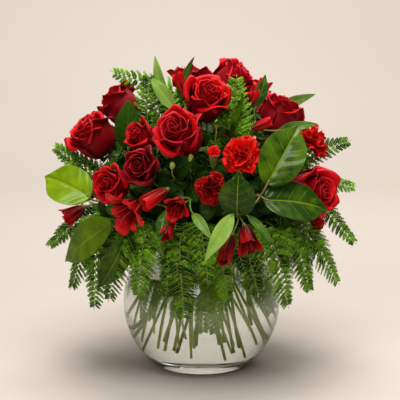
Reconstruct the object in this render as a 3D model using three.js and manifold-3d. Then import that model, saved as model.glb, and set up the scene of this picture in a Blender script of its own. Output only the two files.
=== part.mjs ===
// Roses in a vase: a domed bouquet of red roses, spray roses, spray carnations and alstroemeria, with lemon
// leaf and fern, standing in a clear bubble bowl of water. Millimetres, +Z up, origin at the middle of the
// bowl's foot, and the front of the bouquet looks along -Y.
//
// Every flower head is aimed from the middle of the dome by three values: turn (degrees round +Z from the
// front, positive to the right), rise (degrees above the horizon) and reach (distance from the middle).
// The stems are spiralled as a florist ties them: below the neck they are straight rulings of nested rings
// of lean, so that none of them meets another, and above it they bend out to their heads.

import * as THREE from "three";
import { mergeVertices } from "three/addons/utils/BufferGeometryUtils.js";
import Module from "manifold-3d";

const wasm = await Module();
wasm.setup();

// ---------------------------------------------------------------- driving dimensions

const BOWL = { radius: 100, middle: 81, foot: 57, rim: 160, wall: 3, floor: 16, columns: 22 };
const WATER = { level: 124, gap: 0.4 };
const DOME_MIDDLE = 215; // height of the point that every head is aimed from
const NECK = 156; // height at which the spiralled stems are closest to the bowl's axis
const STEM = { sides: 4, steps: 4, knot: 4, clearance: 0.45 };
const STEM_RADIUS = { rose: 2.4, spray: 2.1, carnation: 1.9, lily: 2, salal: 2, fern: 2 };
const STALK_RADIUS = { spray: 1.5, carnation: 1.3, lily: 1.6, leaf: 1.3 };
const FORK = 0.75; // share of a stem's length, at one of its steps, where its side stalks leave it
const CLEAR = 0.4; // room left round a piece where a leaf or frond beside it is cut back

// Nested rings of lean: radius at the neck, sideways lean (run over rise) and the height of the cut ends. The
// outermost stems stop higher up, where they rest close to the bowl's wall.
const RINGS = [
  { radius: 7, lean: 0.2, foot: 20 },
  { radius: 14.5, lean: 0.3, foot: 20 },
  { radius: 22.5, lean: 0.4, foot: 21 },
  { radius: 31.5, lean: 0.5, foot: 24 },
  { radius: 43, lean: 0.58, foot: 38 },
];

// Leaves and fronds: a frond's leaflets slant towards its tip and sag by these shares of their own length,
// and they crowd together and shorten towards it.
const LEAF = { thick: 0.8, fold: 3, arch: 7, lanceArch: 5 };
const FERN = { thick: 0.9, stalk: 2.4, rib: 1.6, bare: 0.4, pairs: 9, crowd: 1.35, slant: 0.6, sag: 0.15 };

// ---------------------------------------------------------------- finishes

const finish = (color, roughness, more = {}) =>
  new THREE.MeshStandardMaterial({ color, roughness, metalness: 0, ...more });
const LOOKS = {
  glass: finish(0xe8efe9, 0.03, { transparent: true, opacity: 0.3 }),
  water: finish(0xdfe9df, 0.02, { transparent: true, opacity: 0.35 }),
  rose: finish(0xa80716, 0.55),
  spray: finish(0x9c0b1c, 0.55),
  carnation: finish(0xc90d12, 0.65),
  lily: finish(0x8e1020, 0.45),
  stem: finish(0x4c6b21, 0.5),
  salal: finish(0x4f7d1c, 0.35),
  roseLeaf: finish(0x23511c, 0.45),
  lance: finish(0x5a8f2a, 0.45),
  fern: finish(0x2f6b1e, 0.6),
};

// ---------------------------------------------------------------- frames and directions

const rad = THREE.MathUtils.degToRad;
const vec = (x, y, z) => new THREE.Vector3(x, y, z);

/** Unit vector at a turn and a rise. */
function aim(turn, rise) {
  const [t, r] = [rad(turn), rad(rise)];
  return vec(Math.sin(t) * Math.cos(r), -Math.cos(t) * Math.cos(r), Math.sin(r));
}

/** Point of the dome at a turn, rise and reach. */
const spot = (turn, rise, reach) => aim(turn, rise).multiplyScalar(reach).add(vec(0, 0, DOME_MIDDLE));

/** Point at a distance out from the bowl's axis and a height. */
const outAt = (turn, out, height) => aim(turn, 0).multiplyScalar(out).setZ(height);

/** Matrix with its origin at a point, +Z along a direction and +X turned by spin degrees about it. */
function standing(point, direction, spin = 0) {
  const z = direction.clone().normalize();
  const x = vec(0, 0, 1).cross(z);
  if (x.lengthSq() < 1e-6) x.set(1, 0, 0);
  x.normalize();
  const y = z.clone().cross(x);
  return new THREE.Matrix4()
    .makeBasis(x, y, z)
    .multiply(new THREE.Matrix4().makeRotationZ(rad(spin)))
    .setPosition(point);
}

// ---------------------------------------------------------------- solids

const looksOf = new Map(); // the finish that each original solid gave its faces

/** A closed geometry as a solid whose faces remember their finish. */
function solidOf(geometry, look, matrix) {
  const bare = new THREE.BufferGeometry();
  bare.setAttribute("position", geometry.getAttribute("position").clone());
  bare.setIndex(geometry.index);
  if (matrix) bare.applyMatrix4(matrix);
  const merged = mergeVertices(bare, 1e-3);
  const kept = [];
  const index = merged.index.array;
  for (let i = 0; i < index.length; i += 3) {
    const [a, b, c] = [index[i], index[i + 1], index[i + 2]];
    if (a !== b && b !== c && c !== a) kept.push(a, b, c);
  }
  const mesh = (triVerts) =>
    new wasm.Mesh({ numProp: 3, vertProperties: merged.attributes.position.array, triVerts });
  let made = new wasm.Manifold(mesh(new Uint32Array(kept)));
  if (made.volume() < 0) {
    for (let i = 0; i < kept.length; i += 3) [kept[i + 1], kept[i + 2]] = [kept[i + 2], kept[i + 1]];
    made = new wasm.Manifold(mesh(new Uint32Array(kept)));
  }
  made = made.asOriginal();
  looksOf.set(made.originalID(), look);
  return made;
}

const unite = (solids) => wasm.Manifold.union(solids);

/** The largest body of a solid: a scrap that came loose is dropped. */
function wholeOf(solid) {
  const bodies = solid.decompose();
  return bodies.reduce((a, b) => (a.volume() > b.volume() ? a : b));
}

/** A named mesh from a solid, with one group of faces for each finish in it. */
function meshOf(name, solid) {
  const { vertProperties, triVerts, runIndex, runOriginalID } = solid.getMesh();
  const geometry = new THREE.BufferGeometry();
  geometry.setAttribute("position", new THREE.Float32BufferAttribute(vertProperties, 3));
  geometry.setIndex([...triVerts]);
  const looks = [];
  runOriginalID.forEach((id, run) => {
    const look = looksOf.get(id);
    if (!looks.includes(look)) looks.push(look);
    geometry.addGroup(runIndex[run], runIndex[run + 1] - runIndex[run], looks.indexOf(look));
  });
  const flat = geometry.toNonIndexed();
  flat.computeVertexNormals();
  const mesh = new THREE.Mesh(flat, looks.length > 1 ? looks : looks[0]);
  mesh.name = name;
  return mesh;
}

// ---------------------------------------------------------------- blades, tubes and folded heads

/**
 * A thin blade: rows of points across it, from its root to its tip, thickened along the blade's own normals
 * and split into triangles alike on both faces. A row of equal points closes it to a sharp point.
 */
function bladeGeometry(rows, thick) {
  const [m, n] = [rows.length, rows[0].length];
  const clamp = THREE.MathUtils.clamp;
  const at = (i, j) => rows[clamp(i, 0, m - 1)][clamp(j, 0, n - 1)];
  const points = [];
  for (const side of [0.5, -0.5])
    for (let i = 0; i < m; i++) {
      const pointed = at(i, 0).distanceTo(at(i, n - 1)) < 1e-6;
      for (let j = 0; j < n; j++) {
        const across = at(i, j + 1).clone().sub(at(i, j - 1));
        const along = at(i + 1, j).clone().sub(at(i - 1, j));
        const normal = across.cross(along).normalize();
        points.push(at(i, j).clone().addScaledVector(normal, pointed ? 0 : side * thick));
      }
    }
  const faces = [];
  const id = (face, i, j) => face * m * n + i * n + j;
  for (let i = 0; i < m - 1; i++)
    for (let j = 0; j < n - 1; j++) {
      faces.push(id(0, i, j), id(0, i, j + 1), id(0, i + 1, j + 1));
      faces.push(id(0, i, j), id(0, i + 1, j + 1), id(0, i + 1, j));
      faces.push(id(1, i, j), id(1, i + 1, j + 1), id(1, i, j + 1));
      faces.push(id(1, i, j), id(1, i + 1, j), id(1, i + 1, j + 1));
    }
  const rim = [];
  for (let j = 0; j < n - 1; j++) rim.push([0, j]);
  for (let i = 0; i < m - 1; i++) rim.push([i, n - 1]);
  for (let j = n - 1; j > 0; j--) rim.push([m - 1, j]);
  for (let i = m - 1; i > 0; i--) rim.push([i, 0]);
  rim.forEach(([i, j], k) => {
    const [p, q] = rim[(k + 1) % rim.length];
    faces.push(id(0, i, j), id(1, i, j), id(1, p, q), id(0, i, j), id(1, p, q), id(0, p, q));
  });
  const geometry = new THREE.BufferGeometry();
  geometry.setAttribute("position", new THREE.Float32BufferAttribute(points.flatMap((p) => p.toArray()), 3));
  geometry.setIndex(faces);
  return geometry;
}

/** A round stem or stalk along a curve. */
function tubeGeometry(curve, radius, sides = STEM.sides, steps = STEM.steps) {
  const section = new THREE.Shape();
  for (let i = 0; i < sides; i++) {
    const a = (2 * Math.PI * i) / sides;
    if (i) section.lineTo(radius * Math.cos(a), radius * Math.sin(a));
    else section.moveTo(radius, 0);
  }
  section.closePath();
  return new THREE.ExtrudeGeometry(section, { steps, extrudePath: curve, curveSegments: 1 });
}

/**
 * A closed skin turned round +Z whose profile changes from column to column. A row of the profile that lies
 * on the axis is one point, and place(row, column) gives how far out and how far up a point is.
 */
function skinGeometry(rows, columns, place, size = 1) {
  const lathe = new THREE.LatheGeometry(rows.map((row) => new THREE.Vector2(row[0], row[1])), columns);
  const points = lathe.getAttribute("position");
  for (let i = 0; i < points.count; i++) {
    const row = rows[i % rows.length];
    const column = Math.floor(i / rows.length) % columns;
    const [out, up] = row[0] === 0 ? row : place(row, column);
    const a = (2 * Math.PI * column) / columns;
    points.setXYZ(i, out * Math.cos(a) * size, out * Math.sin(a) * size, up * size);
  }
  return lathe;
}

/**
 * Rows of petals: a row is [out, up, lobe, lift, phase]. Across each petal, lobe winds the points outwards to
 * the petal's leading edge, lift raises its middle, and phase turns a ring against the ring before.
 */
const petalPlace = (perPetal) => ([out, up, lobe, lift, phase], column) => {
  const t = ((column + phase) % perPetal) / perPetal;
  const swell = Math.sin(Math.PI * t);
  return [out + lobe * (t - 0.4 + 0.5 * swell), up + lift * (swell - 0.5)];
};

/** Rows of a star: a row is [out, up, notchOut, notchUp], for its points and for the notches between them. */
const starPlace = ([out, up, notchOut, notchUp], column) => (column % 2 ? [notchOut, notchUp] : [out, up]);

// ---------------------------------------------------------------- flowers, at their own size on +Z

const ROSE_TALL = 50;

/** A rose's skin: guard petals rolled out by flare, then three rings of petals wound round the heart. */
const roseRows = (flare) => [
  [0, 0],
  [13, 3, 0, 0, 0],
  [24, 22, 2, 0, 0],
  [28.5 + flare, 39 - 0.8 * flare, 6, 5, 0],
  [23.5, 33, 2, 0, 0],
  [23, 43, 3.5, 5, 1],
  [18, 34, 2.5, 0, 1],
  [16.5, 46, 4, 4, 2],
  [11.5, 38, 2, 0, 2],
  [9.5, 49, 3, 3, 0],
  [0, 42],
];

function roseHead({ size, flare }, petals, look, matrix) {
  return solidOf(skinGeometry(roseRows(flare), petals * 3, petalPlace(3), size), look, matrix);
}

const CARNATION_TALL = 20;
const CARNATION_PETALS = 8;
const CARNATION_ROWS = [
  [0, -3],
  [23, 5, 5, 4, 0],
  [14, 8, 2, 0, 0],
  [20, 14, 5, 4, 1],
  [9, 14, 2, 0, 1],
  [13, 21, 5, 4, 0],
  [0, 17],
];

/** A carnation's frilled head: three tiers of toothed petals. */
const carnationHead = (size, look, matrix) =>
  solidOf(skinGeometry(CARNATION_ROWS, CARNATION_PETALS * 2, petalPlace(2), size), look, matrix);

/** An alstroemeria flower: six tepals that part from a narrow throat, or three while it is closed. */
function lilyFlower({ size, open }, look, matrix) {
  const belly = 6 + 6 * open;
  const rows = [
    [0, -1],
    [belly, 19, belly * 0.86, 16],
    [5 + 15 * open, 40 - 4 * open, 6 + 8 * open, 32 - 3 * open],
    [belly - 1.5, 24, belly * 0.72, 21],
    [0, 11],
  ];
  const columns = open < 0.5 ? 6 : 12;
  return solidOf(skinGeometry(rows, columns, starPlace, size), look, matrix);
}

/** A carnation's bud: its furled petals standing out of the calyx. */
function budTuft(look, matrix) {
  const rows = [[0, -6], [4, -5, 4, -5], [7.5, 5, 5, 2], [4, 9, 2.5, 6], [0, 8]];
  return solidOf(skinGeometry(rows, 8, starPlace), look, matrix);
}

// ---------------------------------------------------------------- leaves

/** The rib of a leaf from its root to its tip, arched up towards a direction. */
function leafRib(root, tip, up, arch) {
  const along = tip.clone().sub(root);
  const side = along.clone().cross(up).normalize();
  const over = side.clone().cross(along).normalize();
  const at = (t) => root.clone().addScaledVector(along, t).addScaledVector(over, arch * 4 * t * (1 - t));
  return { side, over, at };
}

/** Rows of a leaf across its rib: widths are shares of its full width at even steps, fold lifts its edges. */
function leafRows({ side, over, at }, width, fold, widths, across = [-1, 0, 1]) {
  return widths.map((w, i) => {
    const rib = at(i / (widths.length - 1));
    const edge = (u) => rib.clone().addScaledVector(side, (u * w * width) / 2);
    return across.map((u) => edge(u).addScaledVector(over, Math.abs(u) * fold * w));
  });
}

const BROAD_WIDTHS = [0, 0.86, 0.98, 0.55, 0];
const LANCE_WIDTHS = [0, 0.95, 0.7, 0];

/** The swollen joint where stalks part from their stem. */
const knot = (at, look) =>
  solidOf(new THREE.OctahedronGeometry(STEM.knot), look, new THREE.Matrix4().setPosition(at));

/** The stalk that joins a leaf's rib to its stem. */
function leafStalk(stem, share, rib) {
  const end = rib.at(0.07);
  const way = end.clone().sub(rib.at(0)).normalize();
  return solidOf(tubeGeometry(stalkCurve(stem, share, end, way), STALK_RADIUS.leaf, 3, 2), LOOKS.stem);
}

/** A broad arched leaf and the stalk that joins it to a stem. */
function broadLeaf({ root, tip, width, up }, stem, share, look) {
  const rib = leafRib(spot(...root), spot(...tip), aim(...up), LEAF.arch);
  return [leafSolid(leafRows(rib, width, LEAF.fold, BROAD_WIDTHS), look), leafStalk(stem, share, rib)];
}

const leafSolid = (rows, look) => solidOf(bladeGeometry(rows, LEAF.thick), look);

/**
 * A fern frond along a curve: a bare stalk for the first share of its length, then one thin arched blade
 * whose outline is cut to the rib between its leaflets, which point towards the frond's tip.
 */
function frondGeometry(curve, up, spread) {
  const [top, bottom, faces] = [[], [], []];
  const length = curve.getLength();
  const put = (share, across, sag, thick = FERN.thick) => {
    const u = Math.min(share, 1);
    const along = curve.getTangentAt(u);
    const side = along.clone().cross(up).normalize();
    const over = side.clone().cross(along).normalize();
    const point = curve.getPointAt(u).addScaledVector(side, across).addScaledVector(over, -sag);
    top.push(point.clone().addScaledVector(over, thick / 2));
    bottom.push(point.clone().addScaledVector(over, -thick / 2));
    return top.length - 1;
  };
  const { stalk, bare, pairs, rib, crowd } = FERN;
  const shares = [0, bare * 0.35, bare * 0.7];
  for (let k = 0; k <= pairs; k++) shares.push(bare + (0.97 - bare) * (1 - (1 - k / pairs) ** crowd));
  const pair = shares.map((share) => {
    const green = share >= bare;
    const half = green ? rib * (1 - 0.6 * share) : stalk / 2;
    return [-half, half].map((across) => put(share, across, 0, green ? FERN.thick : stalk));
  });
  const edges = [[], []];
  pair.slice(0, -1).forEach(([l0, r0], i) => {
    const [l1, r1] = pair[i + 1];
    faces.push([l0, r0, r1], [l0, r1, l1]);
    edges[0].push(l0);
    edges[1].push(r0);
    if (shares[i] < bare) return;
    const t = (shares[i] - bare) / (1 - bare);
    const reach = spread * (1 - t) ** 0.85 * Math.min(1, 0.7 + 1.5 * t) + 3;
    [-1, 1].forEach((hand, side) => {
      const along = Math.min(shares[i] + (reach * FERN.slant) / length, 0.99);
      const tip = put(along, hand * reach, reach * FERN.sag, 0);
      faces.push(hand < 0 ? [l0, l1, tip] : [r0, tip, r1]);
      edges[side].push(tip);
    });
  });
  const point = put(1, 0, 0, 0);
  const [left, right] = pair[pair.length - 1];
  faces.push([left, right, point]);
  const rim = [...edges[1], right, point, left, ...edges[0].reverse()];
  const n = top.length;
  const index = [];
  faces.forEach(([a, b, c]) => index.push(a, b, c, a + n, c + n, b + n));
  rim.forEach((a, i) => {
    const b = rim[(i + 1) % rim.length];
    index.push(a, a + n, b + n, a, b + n, b);
  });
  const geometry = new THREE.BufferGeometry();
  const points = [...top, ...bottom].flatMap((p) => p.toArray());
  geometry.setAttribute("position", new THREE.Float32BufferAttribute(points, 3));
  geometry.setIndex(index);
  return geometry;
}

// ---------------------------------------------------------------- the layout of the bouquet

// Standard roses: where the bloom's middle is, which way its face looks, its size, and how far its guard
// petals have rolled out. Every stem also names the ring of lean that it stands in.
const ROSES = [
  { at: [-92, 29, 153], face: [-72, 44], size: 1.12, flare: 4, spin: 20, ring: 2,
    leaf: { root: [-70, 34, 116], tip: [-64, 52, 160], width: 34, up: [0, 10] } },
  { at: [-117, 44, 158], face: [-112, 40], size: 1.04, flare: 3, spin: 0, ring: 1 },
  { at: [4, 62, 142], face: [22, 46], size: 1.06, flare: 4, spin: 48, ring: 0 },
  { at: [-12, 38, 144], face: [-26, 36], size: 1.12, flare: 3, spin: 10, ring: 1,
    leaf: { root: [-20, 24, 112], tip: [-4, 27, 146], width: 30, up: [0, 10] } },
  { at: [84, 76, 146], face: [76, 40], size: 1.1, flare: 3, spin: 30, ring: 0 },
  { at: [73, 47, 141], face: [100, 62], size: 1.08, flare: 2, spin: 0, ring: 1 },
  { at: [64, 6, 145], face: [46, 14], size: 1.16, flare: 6, spin: 15, ring: 3 },
  { at: [-172, 62, 150], face: [-175, 55], size: 1.0, flare: 3, spin: 40, ring: 0,
    leaf: { root: [-158, 50, 112], tip: [-140, 60, 162], width: 34, up: [-150, 20] } },
  { at: [-138, 22, 150], face: [-138, 26], size: 1.05, flare: 4, spin: 5, ring: 2,
    leaf: { root: [-126, 22, 112], tip: [-113, 33, 166], width: 34, up: [-120, 20] } },
  { at: [148, 38, 150], face: [150, 38], size: 1.02, flare: 3, spin: 25, ring: 1,
    leaf: { root: [130, 32, 112], tip: [115, 44, 164], width: 32, up: [120, 20] } },
  { at: [176, 16, 150], face: [178, 18], size: 1.0, flare: 4, spin: 60, ring: 3,
    leaf: { root: [178, 28, 112], tip: [164, 36, 162], width: 34, up: [170, 20] } },
];

// Spray roses: several small blooms on one forked stem.
const ROSE_SPRAYS = [
  {
    ring: 1,
    blooms: [
      { at: [-30, 22, 146], face: [-22, 14], size: 0.84, flare: 2, spin: 0 },
      { at: [-40, 38, 138], face: [-56, 26], size: 0.72, flare: 5, spin: 30 },
      { at: [-44, 12, 152], face: [-34, 12], size: 0.84, flare: 3, spin: 12 },
    ],
  },
  {
    ring: 3,
    blooms: [
      { at: [113, 26, 150], face: [115, 28], size: 0.86, flare: 4, spin: 0 },
      { at: [126, 6, 150], face: [126, 4], size: 0.84, flare: 3, spin: 40 },
    ],
  },
];

// Carnations: frilled heads on jointed stems, one of them with a bud beside it.
const CARNATIONS = [
  {
    ring: 2,
    heads: [
      { at: [20, 27, 152], face: [16, 22], size: 1.18, spin: 0 },
      { at: [4, 13, 149], face: [0, 12], size: 0.9, spin: 9 },
    ],
    buds: [{ at: [6, 30, 155], face: [2, 52] }],
  },
  {
    ring: 2,
    heads: [
      { at: [90, 27, 158], face: [84, 34], size: 1.18, spin: 4 },
      { at: [80, -11, 148], face: [78, -14], size: 0.8, spin: 0 },
    ],
    buds: [],
  },
  {
    ring: 2,
    heads: [{ at: [-160, 42, 155], face: [-160, 40], size: 0.95, spin: 12 }],
    buds: [],
  },
];

// Alstroemeria: an umbel of flowers on stalks, with narrow leaves. A flower is [where its stalk ends, the way
// it opens, how open it is, size]; a leaf is [where it springs from, where its tip is].
const LILIES = [
  {
    ring: 3,
    fork: [-30, 4, 116],
    flowers: [
      { at: [-32, 5, 138], face: [-42, -24], open: 1, size: 1.12 },
      { at: [-17, 12, 142], face: [-62, -26], open: 0.4, size: 0.95 },
    ],
    leaves: [{ root: [-16, 3, 140], tip: [-17, -9, 172], width: 15 }],
  },
  {
    ring: 3,
    fork: [-6, 8, 116],
    flowers: [
      { at: [-10, 8, 141], face: [-14, -20], open: 0.6, size: 0.85 },
      { at: [-14, 0, 142], face: [-24, -46], open: 0.4, size: 0.85 },
    ],
    leaves: [{ root: [-4, 2, 150], tip: [4, -7, 176], width: 12 }],
  },
  {
    ring: 1,
    fork: [50, 46, 118],
    flowers: [
      { at: [34, 42, 142], face: [78, 24], open: 0.3, size: 0.72 },
      { at: [46, 56, 145], face: [50, 62], open: 0.25, size: 0.6 },
    ],
    leaves: [
      { root: [50, 38, 150], tip: [66, 33, 182], width: 13 },
      { root: [48, 54, 146], tip: [62, 61, 180], width: 15 },
    ],
  },
  {
    ring: 0,
    fork: [-80, 82, 112],
    flowers: [
      { at: [-50, 79, 128], face: [-95, 74], open: 0.42, size: 0.95 },
      { at: [-120, 80, 136], face: [-150, 66], open: 0.85, size: 0.95 },
    ],
    leaves: [
      { root: [-52, 66, 128], tip: [-82, 72, 188], width: 16 },
      { root: [-30, 62, 130], tip: [-66, 66, 168], width: 18 },
      { root: [-60, 76, 126], tip: [-20, 82, 180], width: 14 },
    ],
  },
  {
    ring: 2,
    fork: [104, 58, 116],
    flowers: [
      { at: [100, 60, 140], face: [96, 64], open: 0.45, size: 0.85 },
      { at: [122, 58, 138], face: [126, 52], open: 0.85, size: 0.9 },
    ],
    leaves: [{ root: [106, 47, 150], tip: [95, 42, 194], width: 15 }],
  },
  {
    ring: 3,
    fork: [20, -2, 120],
    flowers: [
      { at: [14, -9, 146], face: [-30, -52], open: 0.3, size: 0.85 },
      { at: [20, -5, 145], face: [14, -44], open: 0.7, size: 0.85 },
    ],
    leaves: [
      { root: [13, 2, 158], tip: [1, -14, 184], width: 19 },
      { root: [19, 1, 160], tip: [27, -9, 178], width: 11 },
    ],
  },
  {
    ring: 4,
    fork: [-92, -4, 118],
    flowers: [
      { at: [-84, -4, 149], face: [-84, -30], open: 0.7, size: 0.9 },
      { at: [-106, 0, 142], face: [-112, -8], open: 0.9, size: 0.95 },
    ],
    leaves: [{ root: [-98, 4, 145], tip: [-104, 20, 182], width: 14 }],
  },
  {
    ring: 3,
    fork: [156, -4, 118],
    flowers: [
      { at: [150, 2, 140], face: [146, -10], open: 0.9, size: 0.95 },
      { at: [164, -6, 140], face: [168, -26], open: 0.6, size: 0.9 },
    ],
    leaves: [{ root: [158, 6, 145], tip: [160, 18, 182], width: 14 }],
  },
];

// Salal: woody sprigs with broad leaves.
const SALALS = [
  {
    ring: 4,
    end: [-66, 2, 140],
    leaves: [{ root: [-64, 4, 150], tip: [-82, 9, 199], width: 52, up: [-14, 34] }],
  },
  {
    ring: 4,
    end: [-44, -8, 140],
    leaves: [
      { root: [-46, -6, 148], tip: [-76, -23, 190], width: 46, up: [-24, 26] },
      { root: [-40, -12, 142], tip: [-52, -31, 184], width: 34, up: [24, 4] },
    ],
  },
  {
    ring: 2,
    end: [26, 9, 152],
    leaves: [
      { root: [28, 13, 162], tip: [53, 35, 176], width: 52, up: [4, 12] },
      { root: [26, 7, 162], tip: [52, 1, 188], width: 54, up: [6, 40] },
      { root: [15, 1, 156], tip: [15, 19, 172], width: 42, up: [-8, 6] },
    ],
  },
  {
    ring: 1,
    end: [16, 48, 118],
    leaves: [
      { root: [26, 44, 116], tip: [6, 42, 156], width: 26, up: [0, 50] },
      { root: [24, 47, 118], tip: [44, 63, 166], width: 32, up: [-50, 44] },
    ],
  },
  {
    ring: 4,
    end: [-162, 2, 140],
    leaves: [
      { root: [-160, 4, 146], tip: [-148, 0, 196], width: 50, up: [-160, 60] },
      { root: [-166, -2, 142], tip: [-176, -16, 186], width: 48, up: [-170, 60] },
      { root: [-165, 20, 132], tip: [-158, 34, 178], width: 44, up: [150, 30] },
    ],
  },
];

// Fern: fronds that leave a shared foot at the bowl's rim. A frond passes over its shoulder to its tip.
const FERNS = [
  {
    ring: 4,
    turn: -42,
    fronds: [
      { over: [-40, -8, 136], tip: [-49, -37, 186], spread: 40, face: [-25, 35] },
      { over: [-28, -9, 132], tip: [-33, -36, 172], spread: 34, face: [-15, 40] },
      { over: [-17, -16, 118], tip: [-21, -41, 156], spread: 28 },
    ],
  },
  {
    ring: 4,
    turn: -6,
    fronds: [
      { over: [-10, -10, 132], tip: [-10, -47, 178], spread: 30 },
      { over: [8, -14, 124], tip: [15, -40, 168], spread: 30 },
      { over: [0, -5, 136], tip: [3, -28, 170], spread: 24 },
    ],
  },
  {
    ring: 4,
    turn: 36,
    fronds: [
      { over: [34, -9, 138], tip: [44, -38, 190], spread: 44, face: [30, 35] },
      { over: [22, -12, 128], tip: [28, -34, 172], spread: 32, face: [15, 40] },
      { over: [56, -15, 132], tip: [57, -33, 188], spread: 38, face: [40, 35] },
    ],
  },
  {
    ring: 4,
    turn: 84,
    fronds: [
      { over: [66, -14, 140], tip: [71, -29, 205], spread: 38, face: [40, 30] },
      { over: [98, 0, 130], tip: [84, -16, 204], spread: 28, face: [30, 30] },
      { over: [92, 8, 130], tip: [90, 4, 197], spread: 28, face: [20, 40] },
      { over: [104, 18, 128], tip: [98, 20, 206], spread: 28, face: [10, 30] },
    ],
  },
  {
    ring: 4,
    turn: -74,
    fronds: [
      { over: [-58, -12, 142], tip: [-60, -40, 198], spread: 40, face: [-30, 30] },
      { over: [-76, -12, 132], tip: [-75, -33, 202], spread: 36, face: [-40, 30] },
      { over: [-96, -10, 142], tip: [-84, -17, 204], spread: 28, face: [-30, 30] },
      { over: [-92, 9, 124], tip: [-87, 20, 198], spread: 26, face: [-10, 30] },
    ],
  },
  {
    ring: 4,
    turn: 118,
    fronds: [
      { over: [108, -8, 140], tip: [110, -30, 198], spread: 34, face: [100, 40] },
      { over: [130, -12, 138], tip: [132, -36, 190], spread: 36, face: [135, 35] },
      { over: [146, -6, 132], tip: [152, -34, 192], spread: 34, face: [150, 35] },
    ],
  },
  {
    ring: 4,
    turn: -140,
    fronds: [
      { over: [-116, -10, 140], tip: [-112, -32, 198], spread: 34, face: [-110, 35] },
      { over: [-136, -8, 140], tip: [-134, -36, 190], spread: 36, face: [-140, 35] },
      { over: [172, -14, 134], tip: [174, -40, 184], spread: 34, face: [175, 35] },
    ],
  },
  {
    ring: 0,
    turn: 30,
    fronds: [
      { over: [26, 44, 112], tip: [31, 63, 178], spread: 42, face: [0, 10] },
      { over: [-62, 52, 118], tip: [-65, 66, 174], spread: 34, face: [0, 20] },
      { over: [-150, 62, 132], tip: [-103, 53, 199], spread: 30, face: [0, 20] },
    ],
  },
];

// ---------------------------------------------------------------- stems

/** Neck points of a ring's stems, evenly spaced in the order of the way their heads lean. */
function slotsOf(stems) {
  RINGS.forEach(({ radius, lean, foot }, ring) => {
    const here = stems.filter((stem) => stem.ring === ring).sort((a, b) => a.turn - b.turn);
    const gap = 360 / here.length;
    const offset = here.reduce((sum, stem, k) => sum + stem.turn - k * gap, 0) / here.length;
    here.forEach((stem, k) => {
      const across = offset + k * gap;
      const side = aim(across + 90, 0);
      stem.neck = outAt(across, radius, NECK);
      stem.foot = outAt(across, radius, foot).addScaledVector(side, lean * (NECK - foot));
    });
  });
}

/** The way of a stem: straight through the water, then bent from the neck to its end. */
function stemCurve(stem, end, arrive, reach = 0.42) {
  const rise = stem.neck.clone().sub(stem.foot).normalize();
  const span = stem.neck.distanceTo(end) * reach;
  const path = new THREE.CurvePath();
  path.add(new THREE.LineCurve3(stem.foot, stem.neck));
  const leave = stem.neck.clone().addScaledVector(rise, span);
  const enter = end.clone().addScaledVector(arrive, -span);
  path.add(new THREE.CubicBezierCurve3(stem.neck, leave, enter, end));
  return path;
}

/** A side stalk from a stem to its own head. */
function stalkCurve(stem, share, end, arrive) {
  const start = stem.getPointAt(share);
  const span = start.distanceTo(end) * 0.4;
  const leave = start.clone().addScaledVector(stem.getTangentAt(share), span);
  const enter = end.clone().addScaledVector(arrive, -span);
  return new THREE.CubicBezierCurve3(start, leave, enter, end);
}

// ---------------------------------------------------------------- green parts under the heads

// How far below the petals a stem ends in its hip or calyx, and how far the sepals reach out.
const HIP_DOWN = 10;
const CALYX_DOWN = 18;
const SEPALS = { rose: 27, spray: 20 };

/** A rose's hip at the top of its stem, with five narrow sepals spread under the petals. */
function roseHip(size, sepal, look, matrix) {
  const rows = [
    [0, -13],
    [5.4, -6, 5.4, -6],
    [sepal, -5, 5, -3],
    [4.6, -1.4, 4.2, -1.4],
    [0, -0.6],
  ];
  return solidOf(skinGeometry(rows, 10, starPlace, size), look, matrix);
}

/** A carnation's calyx: a green cup on its stalk. */
function calyx(size, look, matrix) {
  const rows = [[0, -22], [3, -21, 3, -21], [5.2, -3.8, 4.6, -3.8], [0, -3.8]];
  return solidOf(skinGeometry(rows, 6, starPlace, size), look, matrix);
}

/** Where a head of a given height is placed: its matrix, its foot and the way it looks. */
function seatOf({ at, face, size = 1, spin = 0 }, tall) {
  const way = aim(...face);
  const foot = spot(...at).addScaledVector(way, -tall * 0.45 * size);
  return { way, foot, matrix: standing(foot, way, spin) };
}

// ---------------------------------------------------------------- pieces of the bouquet

const numbered = (word, i) => `${word}_${String(i + 1).padStart(2, "0")}`;

/** Every stem of the bouquet with its ring and the way it leans, in the order of the lists above. */
const STEMS = [
  ...ROSES.map((item) => Object.assign(item, { turn: item.at[0] })),
  ...ROSE_SPRAYS.map((item) => Object.assign(item, { turn: item.blooms[0].at[0] })),
  ...CARNATIONS.map((item) => Object.assign(item, { turn: item.heads[0].at[0] })),
  ...LILIES.map((item) => Object.assign(item, { turn: item.fork[0] })),
  ...SALALS.map((item) => Object.assign(item, { turn: item.end[0] })),
  ...FERNS,
];
slotsOf(STEMS);

function rosePieces(item, i) {
  const { foot, way, matrix } = seatOf(item, ROSE_TALL);
  const end = foot.clone().addScaledVector(way, -HIP_DOWN * item.size);
  const curve = stemCurve(item, end, way);
  const stem = solidOf(tubeGeometry(curve, STEM_RADIUS.rose), LOOKS.stem);
  const parts = [stem, roseHip(item.size, SEPALS.rose, LOOKS.stem, matrix)];
  if (item.leaf) parts.push(...broadLeaf(item.leaf, curve, FORK, LOOKS.roseLeaf));
  return [
    { name: numbered("rose", i), rank: 0, solid: roseHead(item, 5, LOOKS.rose, matrix) },
    { name: numbered("rose_stem", i), rank: 1, solid: unite(parts) },
  ];
}

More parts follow.
